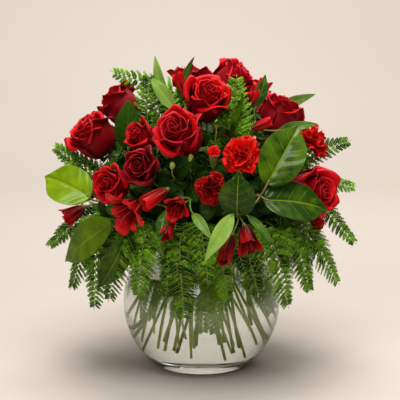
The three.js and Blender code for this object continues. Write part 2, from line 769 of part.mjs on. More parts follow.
function sprayPieces(item, i) {
  const pieces = [];
  const greens = [];
  let main;
  item.blooms.forEach((bloom, k) => {
    const { foot, way, matrix } = seatOf(bloom, ROSE_TALL);
    const end = foot.clone().addScaledVector(way, -HIP_DOWN * bloom.size);
    const name = numbered("spray_rose", i) + "abc"[k];
    pieces.push({ name, rank: 0, solid: roseHead(bloom, 4, LOOKS.spray, matrix) });
    const curve = main ? stalkCurve(main, FORK, end, way) : stemCurve(item, end, way);
    const [radius, steps] = main ? [STALK_RADIUS.spray, 3] : [STEM_RADIUS.spray, STEM.steps];
    greens.push(solidOf(tubeGeometry(curve, radius, STEM.sides, steps), LOOKS.stem));
    greens.push(roseHip(bloom.size, SEPALS.spray, LOOKS.stem, matrix));
    main ??= curve;
  });
  pieces.push({ name: numbered("spray_rose_stem", i), rank: 1, solid: unite(greens) });
  return pieces;
}

function carnationPieces(item, i) {
  const pieces = [];
  const greens = [];
  let main;
  [...item.heads, ...item.buds].forEach((head, k) => {
    const bud = k >= item.heads.length;
    const { foot, way, matrix } = seatOf(head, CARNATION_TALL);
    const end = foot.clone().addScaledVector(way, -CALYX_DOWN);
    const curve = main ? stalkCurve(main, FORK, end, way) : stemCurve(item, end, way);
    const [radius, steps] = main ? [STALK_RADIUS.carnation, 3] : [STEM_RADIUS.carnation, STEM.steps];
    greens.push(solidOf(tubeGeometry(curve, radius, STEM.sides, steps), LOOKS.stem));
    greens.push(calyx(1, LOOKS.stem, matrix));
    if (bud) {
      greens.push(budTuft(LOOKS.carnation, matrix));
    } else {
      const name = numbered("carnation", i) + "ab"[k];
      pieces.push({ name, rank: 0, solid: carnationHead(head.size, LOOKS.carnation, matrix) });
    }
    main ??= curve;
  });
  pieces.push({ name: numbered("carnation_stem", i), rank: 1, solid: unite(greens) });
  return pieces;
}

function lilyPieces(item, i) {
  const fork = spot(...item.fork);
  const main = stemCurve(item, fork, aim(item.fork[0], item.fork[1]));
  const parts = [solidOf(tubeGeometry(main, STEM_RADIUS.lily), LOOKS.stem), knot(fork, LOOKS.stem)];
  for (const flower of item.flowers) {
    const base = spot(...flower.at);
    const way = aim(...flower.face);
    const matrix = standing(base, way, 0);
    parts.push(lilyFlower(flower, LOOKS.lily, matrix));
    const end = base.clone().addScaledVector(way, 2);
    parts.push(solidOf(tubeGeometry(stalkCurve(main, 1, end, way), STALK_RADIUS.lily, 3, 3), LOOKS.stem));
  }
  for (const leaf of item.leaves) {
    const up = aim(leaf.root[0] * 0.6, 24);
    const rib = leafRib(spot(...leaf.root), spot(...leaf.tip), up, LEAF.lanceArch);
    parts.push(leafSolid(leafRows(rib, leaf.width, 0, LANCE_WIDTHS, [-1, 1]), LOOKS.lance));
    parts.push(leafStalk(main, 1, rib));
  }
  return [{ name: numbered("alstroemeria", i), rank: 3, solid: wholeOf(unite(parts)) }];
}

function salalPieces(item, i) {
  const end = spot(...item.end);
  const main = stemCurve(item, end, aim(item.end[0], item.end[1]));
  const parts = [solidOf(tubeGeometry(main, STEM_RADIUS.salal), LOOKS.stem), knot(end, LOOKS.stem)];
  for (const leaf of item.leaves) {
    const near = spot(...leaf.root).distanceTo(end) < 40;
    parts.push(...broadLeaf(leaf, main, near ? 1 : FORK, LOOKS.salal));
  }
  return [{ name: numbered("salal", i), rank: 2, solid: wholeOf(unite(parts)) }];
}

function fernPieces(item, i) {
  const parts = [];
  for (const frond of item.fronds) {
    const [over, tip] = [spot(...frond.over), spot(...frond.tip)];
    const rise = item.neck.clone().sub(item.foot).normalize();
    const shoulder = item.neck.clone().addScaledVector(rise, 10);
    const way = new THREE.CatmullRomCurve3([item.neck, shoulder, over, tip], false, "centripetal");
    const up = aim(...(frond.face ?? [frond.over[0], 70]));
    parts.push(solidOf(frondGeometry(way, up, frond.spread), LOOKS.fern));
  }
  const straight = new THREE.LineCurve3(item.foot, item.neck);
  parts.push(solidOf(tubeGeometry(straight, STEM_RADIUS.fern, STEM.sides, 1), LOOKS.fern));
  parts.push(knot(item.neck, LOOKS.fern));
  return [{ name: numbered("fern", i), rank: 4, solid: wholeOf(unite(parts)) }];
}

// ---------------------------------------------------------------- bowl and water

/** Profile of a ball of a radius round the bowl's middle, from one height to another. */
function ballProfile(radius, from, to, steps) {
  const points = [];
  const [a, b] = [from, to].map((height) => Math.asin((height - BOWL.middle) / radius));
  for (let i = 0; i <= steps; i++) {
    const t = a + ((b - a) * i) / steps;
    points.push(new THREE.Vector2(radius * Math.cos(t), BOWL.middle + radius * Math.sin(t)));
  }
  return points;
}

const turned = (profile, columns) => new THREE.LatheGeometry(profile, columns).rotateX(Math.PI / 2);

function bowlPiece() {
  const seat = BOWL.middle - Math.sqrt(BOWL.radius ** 2 - BOWL.foot ** 2);
  const outer = ballProfile(BOWL.radius, Math.max(seat, 1.5), BOWL.rim, 7);
  const inner = ballProfile(BOWL.radius - BOWL.wall, BOWL.floor, BOWL.rim, 7).reverse();
  const lip = outer[outer.length - 1].clone().add(inner[0]).multiplyScalar(0.5).setY(BOWL.rim + 1.6);
  const profile = [new THREE.Vector2(0, 0), new THREE.Vector2(BOWL.foot - 2, 0), ...outer, lip, ...inner];
  profile.push(new THREE.Vector2(0, BOWL.floor));
  return { name: "vase", rank: 9, solid: solidOf(turned(profile, BOWL.columns), LOOKS.glass) };
}

function waterPiece() {
  const side = ballProfile(BOWL.radius - BOWL.wall - WATER.gap, BOWL.floor + WATER.gap, WATER.level, 5);
  const profile = [new THREE.Vector2(0, BOWL.floor + WATER.gap), ...side, new THREE.Vector2(0, WATER.level)];
  const holes = STEMS.map(({ foot, neck }) => {
    const way = neck.clone().sub(foot).normalize();
    const bottom = foot.clone().addScaledVector(way, -1.6);
    const hole = (STEM_RADIUS.rose + STEM.clearance) / Math.cos(Math.PI / 4);
    return solidOf(tubeGeometry(new THREE.LineCurve3(bottom, neck), hole, 4, 1), LOOKS.water);
  });
  const solid = solidOf(turned(profile, BOWL.columns), LOOKS.water).subtract(unite(holes));
  return { name: "water", rank: 9, solid: wholeOf(solid) };
}

// ---------------------------------------------------------------- the whole

const CLEAR_WAYS = [[0, 0, 0], [1, 0, 0], [-1, 0, 0], [0, 1, 0], [0, -1, 0], [0, 0, 1], [0, 0, -1]];

/** A leaf, frond or spray cut back wherever it would touch a piece of a lower rank. */
function cutClear(piece, others) {
  for (const other of others) {
    if (piece.solid.intersect(other.solid).volume() < 1e-3) continue;
    for (const way of CLEAR_WAYS)
      piece.solid = piece.solid.subtract(other.solid.translate(way.map((x) => x * CLEAR)));
    piece.solid = wholeOf(piece.solid);
  }
}

const grown = [
  ...ROSES.flatMap(rosePieces),
  ...ROSE_SPRAYS.flatMap(sprayPieces),
  ...CARNATIONS.flatMap(carnationPieces),
  ...LILIES.flatMap(lilyPieces),
  ...SALALS.flatMap(salalPieces),
  ...FERNS.flatMap(fernPieces),
].sort((a, b) => a.rank - b.rank);
grown.forEach((piece, i) => cutClear(piece, grown.slice(0, i)));

const bouquet = new THREE.Group();
for (const { name, solid } of [bowlPiece(), waterPiece(), ...grown]) bouquet.add(meshOf(name, solid));

export default bouquet;
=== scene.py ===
"""Looks of a bouquet of red roses in a clear bubble bowl, laid out as a Blender add-on.

Lengths in the layout are in millimetres and become metres as a mesh is made. A flower head is aimed from the
middle of the dome by a turn (degrees round +Z from the front, positive to the right), a rise (degrees above
the horizon) and a reach (its distance from the dome's middle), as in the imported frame.
"""

import math

import bpy
import numpy as np
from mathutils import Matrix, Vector


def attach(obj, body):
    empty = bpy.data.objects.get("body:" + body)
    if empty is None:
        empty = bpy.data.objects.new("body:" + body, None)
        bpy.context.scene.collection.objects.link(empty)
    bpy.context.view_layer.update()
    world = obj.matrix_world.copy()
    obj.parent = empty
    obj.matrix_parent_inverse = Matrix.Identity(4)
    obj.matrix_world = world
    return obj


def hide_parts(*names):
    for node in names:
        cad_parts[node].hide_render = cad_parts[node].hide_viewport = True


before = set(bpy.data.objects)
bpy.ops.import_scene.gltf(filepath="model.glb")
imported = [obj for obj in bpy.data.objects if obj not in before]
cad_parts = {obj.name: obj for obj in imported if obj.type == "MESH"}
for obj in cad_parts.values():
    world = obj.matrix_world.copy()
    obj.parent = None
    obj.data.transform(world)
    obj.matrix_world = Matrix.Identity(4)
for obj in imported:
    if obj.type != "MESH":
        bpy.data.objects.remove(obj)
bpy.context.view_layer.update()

bl_info = {
    "name": "Roses in a bubble bowl",
    "version": (1, 0, 0),
    "blender": (4, 5, 0),
    "location": "View3D > Sidebar > Bouquet",
    "description": "Petals, leaves, fronds, stems, glass and water of a red bouquet",
    "category": "Object",
}

MM = 0.001
GOLDEN_TURN = math.radians(137.508)
DOME_MIDDLE = 215.0
NECK = 156.0
FORK = 0.75

# Nested rings of lean that the stems stand in: radius at the neck, run over rise, height of the line's foot.
RINGS = [(7.0, 0.2, 20.0), (14.5, 0.3, 20.0), (22.5, 0.4, 21.0), (31.5, 0.5, 24.0), (43.0, 0.58, 38.0)]

STEM_RADIUS = {"rose": 2.4, "spray": 2.1, "carnation": 1.9, "lily": 2.0, "salal": 2.0, "fern": 2.0}


def tint(red, green, blue):
    """A colour as light: each 0 to 255 value of a screen colour turned to its linear share."""
    shares = (value / 255 for value in (red, green, blue))
    return tuple(((share + 0.055) / 1.055) ** 2.4 if share > 0.04 else share / 12.92 for share in shares)


# ---------------------------------------------------------------- the layout of the bouquet

# A head's dark value is painted shade: it darkens the petals of heads that sit in the bouquet's shade.
ROSES = [
    dict(at=(-92, 29, 153), face=(-72, 44), size=1.12, flare=4, spin=20, ring=2,
         leaf=dict(root=(-70, 34, 116), tip=(-64, 52, 160), width=34, up=(0, 10), tone=0.8)),
    dict(at=(-117, 44, 158), face=(-112, 40), size=1.04, flare=3, spin=0, ring=1),
    dict(at=(4, 62, 142), face=(22, 46), size=1.06, flare=4, spin=48, ring=0),
    dict(at=(-12, 38, 144), face=(-26, 36), size=1.12, flare=3, spin=10, ring=1, dark=0.8,
         leaf=dict(root=(-20, 24, 112), tip=(-4, 27, 146), width=30, up=(0, 10), tone=0.2)),
    dict(at=(84, 76, 146), face=(76, 40), size=1.1, flare=3, spin=30, ring=0),
    dict(at=(73, 47, 141), face=(100, 62), size=1.08, flare=2, spin=0, ring=1),
    dict(at=(64, 6, 145), face=(46, 14), size=1.16, flare=6, spin=15, ring=3),
    dict(at=(-172, 62, 150), face=(-175, 55), size=1.0, flare=3, spin=40, ring=0,
         leaf=dict(root=(-158, 50, 112), tip=(-140, 60, 162), width=34, up=(-150, 20))),
    dict(at=(-138, 22, 150), face=(-138, 26), size=1.05, flare=4, spin=5, ring=2,
         leaf=dict(root=(-126, 22, 112), tip=(-113, 33, 166), width=34, up=(-120, 20))),
    dict(at=(148, 38, 150), face=(150, 38), size=1.02, flare=3, spin=25, ring=1,
         leaf=dict(root=(130, 32, 112), tip=(115, 44, 164), width=32, up=(120, 20))),
    dict(at=(176, 16, 150), face=(178, 18), size=1.0, flare=4, spin=60, ring=3,
         leaf=dict(root=(178, 28, 112), tip=(164, 36, 162), width=34, up=(170, 20))),
]

# A head's dark value is painted shade: it darkens the petals of heads that sit in the bouquet's shade.
ROSE_SPRAYS = [
    dict(ring=1, blooms=[
        dict(at=(-30, 22, 146), face=(-22, 14), size=0.84, flare=2, spin=0, dark=1.4),
        dict(at=(-40, 38, 138), face=(-56, 26), size=0.72, flare=5, spin=30),
        dict(at=(-44, 12, 152), face=(-34, 12), size=0.84, flare=3, spin=12),
    ]),
    dict(ring=3, blooms=[
        dict(at=(113, 26, 150), face=(115, 28), size=0.86, flare=4, spin=0),
        dict(at=(126, 6, 150), face=(126, 4), size=0.84, flare=3, spin=40),
    ]),
]

# A head's dark value is painted shade: it darkens the petals of heads that sit in the bouquet's shade.
CARNATIONS = [
    dict(ring=2, heads=[
        dict(at=(20, 27, 152), face=(16, 22), size=1.18, spin=0),
        dict(at=(4, 13, 149), face=(0, 12), size=0.9, spin=9, dark=1.6),
    ], buds=[dict(at=(6, 30, 155), face=(2, 52))]),
    dict(ring=2, heads=[
        dict(at=(90, 27, 158), face=(84, 34), size=1.18, spin=4),
        dict(at=(80, -11, 148), face=(78, -14), size=0.8, spin=0),
    ], buds=[]),
    dict(ring=2, heads=[
        dict(at=(-160, 42, 155), face=(-160, 40), size=0.95, spin=12),
    ], buds=[]),
]

# A flower's dark value is painted shade: it darkens the tepals of flowers that sit in the bouquet's shade.
ALSTROEMERIAS = [
    dict(ring=3, fork=(-30, 4, 116), flowers=[
        dict(at=(-32, 5, 138), face=(-42, -24), open=1.3, size=1.12),
        dict(at=(-17, 12, 142), face=(-62, -26), open=0.4, size=0.95),
    ], leaves=[dict(root=(-16, 3, 140), tip=(-17, -9, 172), width=15)]),
    dict(ring=3, fork=(-6, 8, 116), flowers=[
        dict(at=(-10, 8, 141), face=(-14, -20), open=0.8, size=0.9, dark=0.6),
        dict(at=(-14, 0, 142), face=(-24, -46), open=0.4, size=0.85, dark=1.0),
    ], leaves=[dict(root=(-4, 2, 150), tip=(4, -7, 176), width=12)]),
    dict(ring=1, fork=(50, 46, 118), flowers=[
        dict(at=(34, 42, 142), face=(78, 24), open=0.3, size=0.72),
        dict(at=(46, 56, 145), face=(50, 62), open=0.25, size=0.6),
    ], leaves=[
        dict(root=(50, 38, 150), tip=(66, 33, 182), width=13, tone=0.3),
        dict(root=(48, 54, 146), tip=(62, 61, 180), width=15, tone=0.0),
    ]),
    dict(ring=0, fork=(-80, 82, 112), flowers=[
        dict(at=(-50, 79, 128), face=(-95, 74), open=0.42, size=0.95),
        dict(at=(-120, 80, 136), face=(-150, 66), open=0.85, size=0.95),
    ], leaves=[
        dict(root=(-52, 66, 128), tip=(-82, 72, 188), width=16),
        dict(root=(-30, 62, 130), tip=(-66, 66, 168), width=18),
        dict(root=(-60, 76, 126), tip=(-20, 82, 180), width=14, tone=0.1),
    ]),
    dict(ring=2, fork=(104, 58, 116), flowers=[
        dict(at=(100, 60, 140), face=(96, 64), open=0.45, size=0.85),
        dict(at=(122, 58, 138), face=(126, 52), open=0.85, size=0.9),
    ], leaves=[dict(root=(106, 47, 150), tip=(95, 42, 194), width=15)]),
    dict(ring=3, fork=(20, -2, 120), flowers=[
        dict(at=(14, -9, 146), face=(-30, -52), open=0.3, size=0.98, dark=1.2),
        dict(at=(20, -5, 145), face=(14, -44), open=0.7, size=0.95, dark=1.1),
    ], leaves=[
        dict(root=(13, 2, 158), tip=(1, -14, 184), width=19, tone=1.0),
        dict(root=(19, 1, 160), tip=(27, -9, 178), width=11),
    ]),
    dict(ring=4, fork=(-92, -4, 118), flowers=[
        dict(at=(-84, -4, 149), face=(-84, -30), open=0.7, size=0.9),
        dict(at=(-106, 0, 142), face=(-112, -8), open=0.9, size=0.95),
    ], leaves=[dict(root=(-98, 4, 145), tip=(-104, 20, 182), width=14)]),
    dict(ring=3, fork=(156, -4, 118), flowers=[
        dict(at=(150, 2, 140), face=(146, -10), open=0.9, size=0.95),
        dict(at=(164, -6, 140), face=(168, -26), open=0.6, size=0.9),
    ], leaves=[dict(root=(158, 6, 145), tip=(160, 18, 182), width=14)]),
]

SALALS = [
    dict(ring=4, end=(-66, 2, 140), leaves=[
        dict(root=(-64, 4, 150), tip=(-82, 9, 199), width=52, up=(-14, 34), tone=0.7),
    ]),
    dict(ring=4, end=(-44, -8, 140), leaves=[
        dict(root=(-46, -6, 148), tip=(-76, -23, 190), width=46, up=(-24, 26), tone=0.36),
        dict(root=(-40, -12, 142), tip=(-52, -31, 184), width=34, up=(24, 4), tone=0.1),
    ]),
    dict(ring=2, end=(26, 9, 152), leaves=[
        dict(root=(28, 13, 162), tip=(53, 35, 176), width=52, up=(4, 12), tone=0.16),
        dict(root=(26, 7, 162), tip=(52, 1, 188), width=54, up=(6, 40), tone=0.02),
        dict(root=(15, 1, 156), tip=(15, 19, 172), width=42, up=(-8, 6), tone=0.0),
    ]),
    dict(ring=1, end=(16, 48, 118), leaves=[
        dict(root=(26, 44, 116), tip=(6, 42, 156), width=26, up=(0, 50), tone=0.0),
        dict(root=(24, 47, 118), tip=(44, 63, 166), width=32, up=(-50, 44), tone=0.1),
    ]),
    dict(ring=4, end=(-162, 2, 140), leaves=[
        dict(root=(-160, 4, 146), tip=(-148, 0, 196), width=50, up=(-160, 60), tone=0.35),
        dict(root=(-166, -2, 142), tip=(-176, -16, 186), width=48, up=(-170, 60), tone=0.2),
        dict(root=(-165, 20, 132), tip=(-158, 34, 178), width=44, up=(150, 30), tone=0.45),
    ]),
]

FERNS = [
    dict(ring=4, turn=-42, fronds=[
        dict(over=(-40, -8, 136), tip=(-49, -37, 186), spread=40, face=(-25, 35)),
        dict(over=(-28, -9, 132), tip=(-33, -36, 172), spread=34, face=(-15, 40)),
        dict(over=(-17, -16, 118), tip=(-21, -41, 156), spread=28),
    ]),
    dict(ring=4, turn=-6, fronds=[
        dict(over=(-10, -10, 132), tip=(-10, -47, 178), spread=30),
        dict(over=(8, -14, 124), tip=(15, -40, 168), spread=30),
        dict(over=(0, -5, 136), tip=(3, -28, 170), spread=24),
    ]),
    dict(ring=4, turn=36, fronds=[
        dict(over=(34, -9, 138), tip=(44, -38, 190), spread=44, face=(30, 35)),
        dict(over=(22, -12, 128), tip=(28, -34, 172), spread=32, face=(15, 40)),
        dict(over=(56, -15, 132), tip=(57, -33, 188), spread=38, face=(40, 35)),
    ]),
    dict(ring=4, turn=84, fronds=[
        dict(over=(66, -14, 140), tip=(71, -29, 205), spread=38, face=(40, 30)),
        dict(over=(98, 0, 130), tip=(84, -16, 204), spread=28, face=(30, 30)),
        dict(over=(92, 8, 130), tip=(90, 4, 197), spread=28, face=(20, 40)),
        dict(over=(104, 18, 128), tip=(98, 20, 206), spread=28, face=(10, 30)),
    ]),
    dict(ring=4, turn=-74, fronds=[
        dict(over=(-58, -12, 142), tip=(-60, -40, 198), spread=40, face=(-30, 30)),
        dict(over=(-76, -12, 132), tip=(-75, -33, 202), spread=36, face=(-40, 30)),
        dict(over=(-96, -10, 142), tip=(-84, -17, 204), spread=28, face=(-30, 30)),
        dict(over=(-92, 9, 124), tip=(-87, 20, 198), spread=26, face=(-10, 30)),
    ]),
    dict(ring=4, turn=118, fronds=[
        dict(over=(108, -8, 140), tip=(110, -30, 198), spread=34, face=(100, 40)),
        dict(over=(130, -12, 138), tip=(132, -36, 190), spread=36, face=(135, 35)),
        dict(over=(146, -6, 132), tip=(152, -34, 192), spread=34, face=(150, 35)),
    ]),
    dict(ring=4, turn=-140, fronds=[
        dict(over=(-116, -10, 140), tip=(-112, -32, 198), spread=34, face=(-110, 35)),
        dict(over=(-136, -8, 140), tip=(-134, -36, 190), spread=36, face=(-140, 35)),
        dict(over=(172, -14, 134), tip=(174, -40, 184), spread=34, face=(175, 35)),
    ]),
    dict(ring=0, turn=30, fronds=[
        dict(over=(26, 44, 112), tip=(31, 63, 178), spread=42, face=(0, 10)),
        dict(over=(-62, 52, 118), tip=(-65, 66, 174), spread=34, face=(0, 20)),
        dict(over=(-150, 62, 132), tip=(-103, 53, 199), spread=30, face=(0, 20)),
    ]),
]


# Reaches of the filler's sprigs, taken in turn, and its inner fronds as turn, rise, reach and spread.
FILLER_REACH = [76, 118, 96, 130, 108]
FILLER_LIMIT = 132
INNER_FRONDS = [
    (-74, 62, 150, 26), (-52, 30, 136, 26), (-34, 66, 150, 24), (-18, 18, 128, 26), (8, 38, 140, 24),
    (24, 30, 130, 26), (48, 26, 138, 26), (60, 68, 154, 26), (92, 50, 150, 26), (118, 40, 146, 26),
    (140, 62, 150, 26), (160, 24, 140, 26), (-170, 38, 144, 26), (-140, 40, 148, 26), (-118, 24, 144, 26),
    (-100, 14, 140, 26),
]

# Fronds that hang over the rim, and small ones that stand in the water, painted paler as painted light.
SKIRT_FRONDS = 22
DROWNED_FRONDS = 13

# Small unopened buds between the flowers: turn, rise, reach.
SMALL_BUDS = [
    (-24, 34, 138), (-15, 22, 142), (-6, 26, 140), (10, 44, 140), (-112, 30, 142), (136, 20, 142),
    (170, 34, 140),
]


# ---------------------------------------------------------------- directions and paths


def unit(v):
    """The vectors divided by their lengths."""
    return v / np.maximum(np.linalg.norm(v, axis=-1, keepdims=True), 1e-9)


def aim(turn, rise):
    """Unit vector at a turn and a rise: (sin turn cos rise, -cos turn cos rise, sin rise)."""
    t, r = math.radians(turn), math.radians(rise)
    return np.array([math.sin(t) * math.cos(r), -math.cos(t) * math.cos(r), math.sin(r)])


def spot(turn, rise, reach):
    """Point at a reach from the dome's middle along an aimed vector."""
    return aim(turn, rise) * reach + np.array([0.0, 0.0, DOME_MIDDLE])


def standing(foot, way, spin=0.0):
    """Axes and origin of a head: its own +Z along way, its +X level and then turned by spin about it."""
    z = unit(way)
    x = np.cross([0.0, 0.0, 1.0], z)
    x = unit(x) if np.linalg.norm(x) > 1e-3 else np.array([1.0, 0.0, 0.0])
    y = np.cross(z, x)
    c, s = math.cos(math.radians(spin)), math.sin(math.radians(spin))
    return np.array([c * x + s * y, c * y - s * x, z]), foot


def placed(points, seat):
    """Points of a head in its own axes, moved to its seat."""
    axes, foot = seat
    return points @ axes + foot


def place_stems():
    """Each stem's neck and foot: a ring's stems are evenly spaced round it in the order of their heads' turns,
    and each is a straight line that leans sideways. Its cut foot is drawn up by 3 to 15 % of the line."""
    stems = [*ROSES, *ROSE_SPRAYS, *CARNATIONS, *ALSTROEMERIAS, *SALALS, *FERNS]
    for item in stems:
        if "turn" not in item:
            heads = item.get("blooms") or item.get("heads") or [dict(at=item.get("fork") or item.get("end"))]
            item["turn"] = item["at"][0] if "at" in item else heads[0]["at"][0]
    for ring, (radius, lean, foot) in enumerate(RINGS):
        here = sorted((s for s in stems if s["ring"] == ring), key=lambda s: s["turn"])
        gap = 360 / len(here)
        offset = sum(s["turn"] - k * gap for k, s in enumerate(here)) / len(here)
        for k, item in enumerate(here):
            out = aim(offset + k * gap, 0) * radius
            side = aim(offset + k * gap + 90, 0)
            item["neck"] = out + [0, 0, NECK]
            item["foot"] = out + side * lean * (NECK - foot) + [0, 0, foot]
            item["foot"] += (item["neck"] - item["foot"]) * (0.09 + 0.06 * math.sin(7 * k + 3 * ring))


def bezier(t, a, b, c, d):
    """A cubic Bezier from a to d, drawn towards b and c, at shares t of its run."""
    return (1 - t) ** 3 * a + 3 * (1 - t) ** 2 * t * b + 3 * (1 - t) * t**2 * c + t**3 * d


def cubic(a, b, c, d, steps=40):
    """Points at even shares of a cubic Bezier."""
    return bezier(np.linspace(0, 1, steps)[:, None], a, b, c, d)


def evenly(path, count):
    """Points at equal steps of length along a path."""
    length = np.r_[0, np.cumsum(np.linalg.norm(np.diff(path, axis=0), axis=1))]
    at = np.linspace(0, length[-1], count)
    return np.stack([np.interp(at, length, path[:, i]) for i in range(3)], -1)


def stem_path(item, end, arrive, count=60):
    """A stem: straight through the water from its foot to the neck, then a cubic that bends out to its end."""
    rise = unit(item["neck"] - item["foot"])
    span = np.linalg.norm(item["neck"] - end) * 0.42
    bend = cubic(item["neck"], item["neck"] + rise * span, end - arrive * span, end)
    return evenly(np.concatenate([item["foot"][None], bend]), count)


def stalk_path(stem, share, end, arrive, count=14):
    """A side stalk: a cubic that leaves a stem at a share of its length and arrives at its own head."""
    k = min(int(round(share * (len(stem) - 1))), len(stem) - 1)
    start, along = stem[k], unit(stem[k] - stem[k - 1])
    span = np.linalg.norm(end - start) * 0.4
    return evenly(cubic(start, start + along * span, end - arrive * span, end), count)


def frond_path(points, count=60):
    """A centripetal Catmull-Rom curve through points: each span is the cubic whose end slopes come from the
    neighbouring points, weighted by the square roots of their distances."""
    p = np.array([2 * points[0] - points[1], *points, 2 * points[-1] - points[-2]])
    dt = np.sqrt(np.linalg.norm(np.diff(p, axis=0), axis=1))[:, None]
    x0, x1, x2, x3 = p[:-3], p[1:-2], p[2:-1], p[3:]
    d0, d1, d2 = dt[:-2], dt[1:-1], dt[2:]
    m1 = ((x1 - x0) / d0 - (x2 - x0) / (d0 + d1) + (x2 - x1) / d1) * d1
    m2 = ((x2 - x1) / d1 - (x3 - x1) / (d1 + d2) + (x3 - x2) / d2) * d1
    t = np.linspace(0, 1, 40)[None, :, None]
    x1, x2, m1, m2 = (a[:, None] for a in (x1, x2, m1, m2))
    spans = x1 + m1 * t + (-3 * x1 + 3 * x2 - 2 * m1 - m2) * t**2 + (2 * x1 - 2 * x2 + m1 + m2) * t**3
    return evenly(spans.reshape(-1, 3), count)


# ---------------------------------------------------------------- surfaces


class Surfaces:
    """Closed surfaces gathered for one piece, with the marks that its finish reads at each point: how far
    across (-1 to 1), how far along (0 to 1), a tone of its own (0 to 1, raised on heads painted darker as
    painted shade, and on fronds in the water, painted paler as painted light), and whether it is an upper face."""

    def __init__(self):
        self.points, self.faces, self.marks, self.upper, self.count = [], [], [], [], 0

    def add(self, points, faces, marks, upper):
        """Takes in points with their faces, which count from 0, and their marks."""
        self.points.append(points.reshape(-1, 3))
        self.faces.extend(f.reshape(-1, f.shape[-1]) + self.count for f in faces)
        self.marks.append(marks.reshape(-1, 3))
        self.upper.append(np.broadcast_to(upper, points.shape[:-1]).ravel())
        self.count += points.size // 3

    def piece(self, name, look, slot, *nodes):
        """The mesh, made in one go, riding on the row's body in place of its nodes."""
        mesh = bpy.data.meshes.new(name)
        points = np.concatenate(self.points) * MM
        corners = np.concatenate([f.ravel() for f in self.faces])
        sizes = np.concatenate([np.full(len(f), f.shape[1]) for f in self.faces])
        mesh.vertices.add(len(points))
        mesh.vertices.foreach_set("co", points.astype(np.float32).ravel())
        mesh.loops.add(len(corners))
        mesh.loops.foreach_set("vertex_index", corners.astype(np.int32))
        mesh.polygons.add(len(sizes))
        mesh.polygons.foreach_set("loop_start", np.r_[0, np.cumsum(sizes)[:-1]].astype(np.int32))
        mesh.polygons.foreach_set("use_smooth", np.ones(len(sizes), bool))
        mesh.update(calc_edges=True)
        mark = mesh.attributes.new("mark", "FLOAT_VECTOR", "POINT")
        mark.data.foreach_set("vector", np.concatenate(self.marks).astype(np.float32).ravel())
        upper = mesh.attributes.new("upper", "FLOAT", "POINT")
        upper.data.foreach_set("value", np.concatenate(self.upper).astype(np.float32))
        mesh.materials.append(look)
        made = bpy.data.objects.new(name, mesh)
        bpy.context.scene.collection.objects.link(made)
        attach(made, "root")
        if nodes:
            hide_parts(*nodes)
        return made


def blades(gathered, rows, thick, marks):
    """Thin closed shells on grids of points (blade, along, across). The upper face is the grid moved out by
    half the thickness along its normals, the lower face is moved in, and the two meet at the rim."""
    count, m, n, _ = rows.shape
    normal = unit(np.cross(np.gradient(rows, axis=2), np.gradient(rows, axis=1)))
    shift = normal[:, 1:-1, 1:-1] * thick / 2
    top = rows.copy()
    top[:, 1:-1, 1:-1] += shift
    low = rows[:, 1:-1, 1:-1] - shift
    up = np.arange(m * n).reshape(m, n)
    down = up.copy()
    down[1:-1, 1:-1] = m * n + np.arange((m - 2) * (n - 2)).reshape(m - 2, n - 2)
    ring = [np.stack([g[:-1, :-1], g[:-1, 1:], g[1:, 1:], g[1:, :-1]], -1).reshape(-1, 4) for g in (up, down)]
    quads = np.concatenate([ring[0], ring[1][:, ::-1]])
    points = np.concatenate([top.reshape(count, -1, 3), low.reshape(count, -1, 3)], 1)
    marks = np.broadcast_to(marks, rows.shape)
    both = np.concatenate([marks.reshape(count, -1, 3), marks[:, 1:-1, 1:-1].reshape(count, -1, 3)], 1)
    upper = np.r_[np.ones(m * n), np.zeros((m - 2) * (n - 2))]
    gathered.add(points, [quads + np.arange(count)[:, None, None] * points.shape[1]], both, upper)


def ring_faces(steps, sides):
    """Faces of rings of points set along a line and closed on two last points: the quads between each ring and
    the next, then the triangles of the fan at the foot and of the fan at the head."""
    k = np.arange(sides)
    j = (k + 1) % sides
    base = np.arange(steps - 1)[:, None] * sides
    wall = np.stack([base + k, base + j, base + sides + j, base + sides + k], -1).reshape(-1, 4)
    last = (steps - 1) * sides
    foot = np.stack([np.full(sides, steps * sides), j, k], -1)
    head = np.stack([np.full(sides, steps * sides + 1), last + k, last + j], -1)
    return wall, foot, head


def ring_marks(angles, steps, tone):
    """Marks of such rings and their two last points: the angle's cosine, the share along and a tone."""
    share = np.repeat(np.linspace(0, 1, steps), angles.size)
    marks = np.stack([np.tile(np.cos(angles), steps), share, np.full(share.size, tone)], -1)
    return np.concatenate([marks, [[0, 0, tone], [0, 1, tone]]])


def tubes(gathered, paths, radii, sides, tone=0.5):
    """Closed round stalks along paths (stalk, step): rings of points at the radius, square to the path, in a
    frame carried by the direction that the path doesn't bend in, and a point at each end."""
    count, steps, _ = paths.shape
    along = unit(np.gradient(paths, axis=1))
    chord = unit(paths[:, -1] - paths[:, 0])
    still = np.cross(paths[:, steps // 2] - paths[:, 0], paths[:, -1] - paths[:, 0])
    spare = np.cross(chord, np.where(np.abs(chord[:, 2:]) < 0.9, [0.0, 0.0, 1.0], [1.0, 0.0, 0.0]))
    plain = np.linalg.norm(still, axis=1, keepdims=True) < 1e-2
    still = unit(np.where(plain, spare, still))[:, None]
    side = unit(still - along * (still * along).sum(-1, keepdims=True))
    over = np.cross(along, side)
    a = np.arange(sides) * 2 * np.pi / sides
    ring = side[:, :, None] * np.cos(a)[:, None] + over[:, :, None] * np.sin(a)[:, None]
    radii = np.broadcast_to(radii, (count, steps))
    rings = paths[:, :, None] + ring * radii[:, :, None, None]
    points = np.concatenate([rings.reshape(count, -1, 3), paths[:, :1], paths[:, -1:]], 1)
    offset = np.arange(count)[:, None, None] * points.shape[1]
    marks = np.broadcast_to(ring_marks(a, steps, tone), points.shape)
    gathered.add(points, [faces + offset for faces in ring_faces(steps, sides)], marks, 1.0)


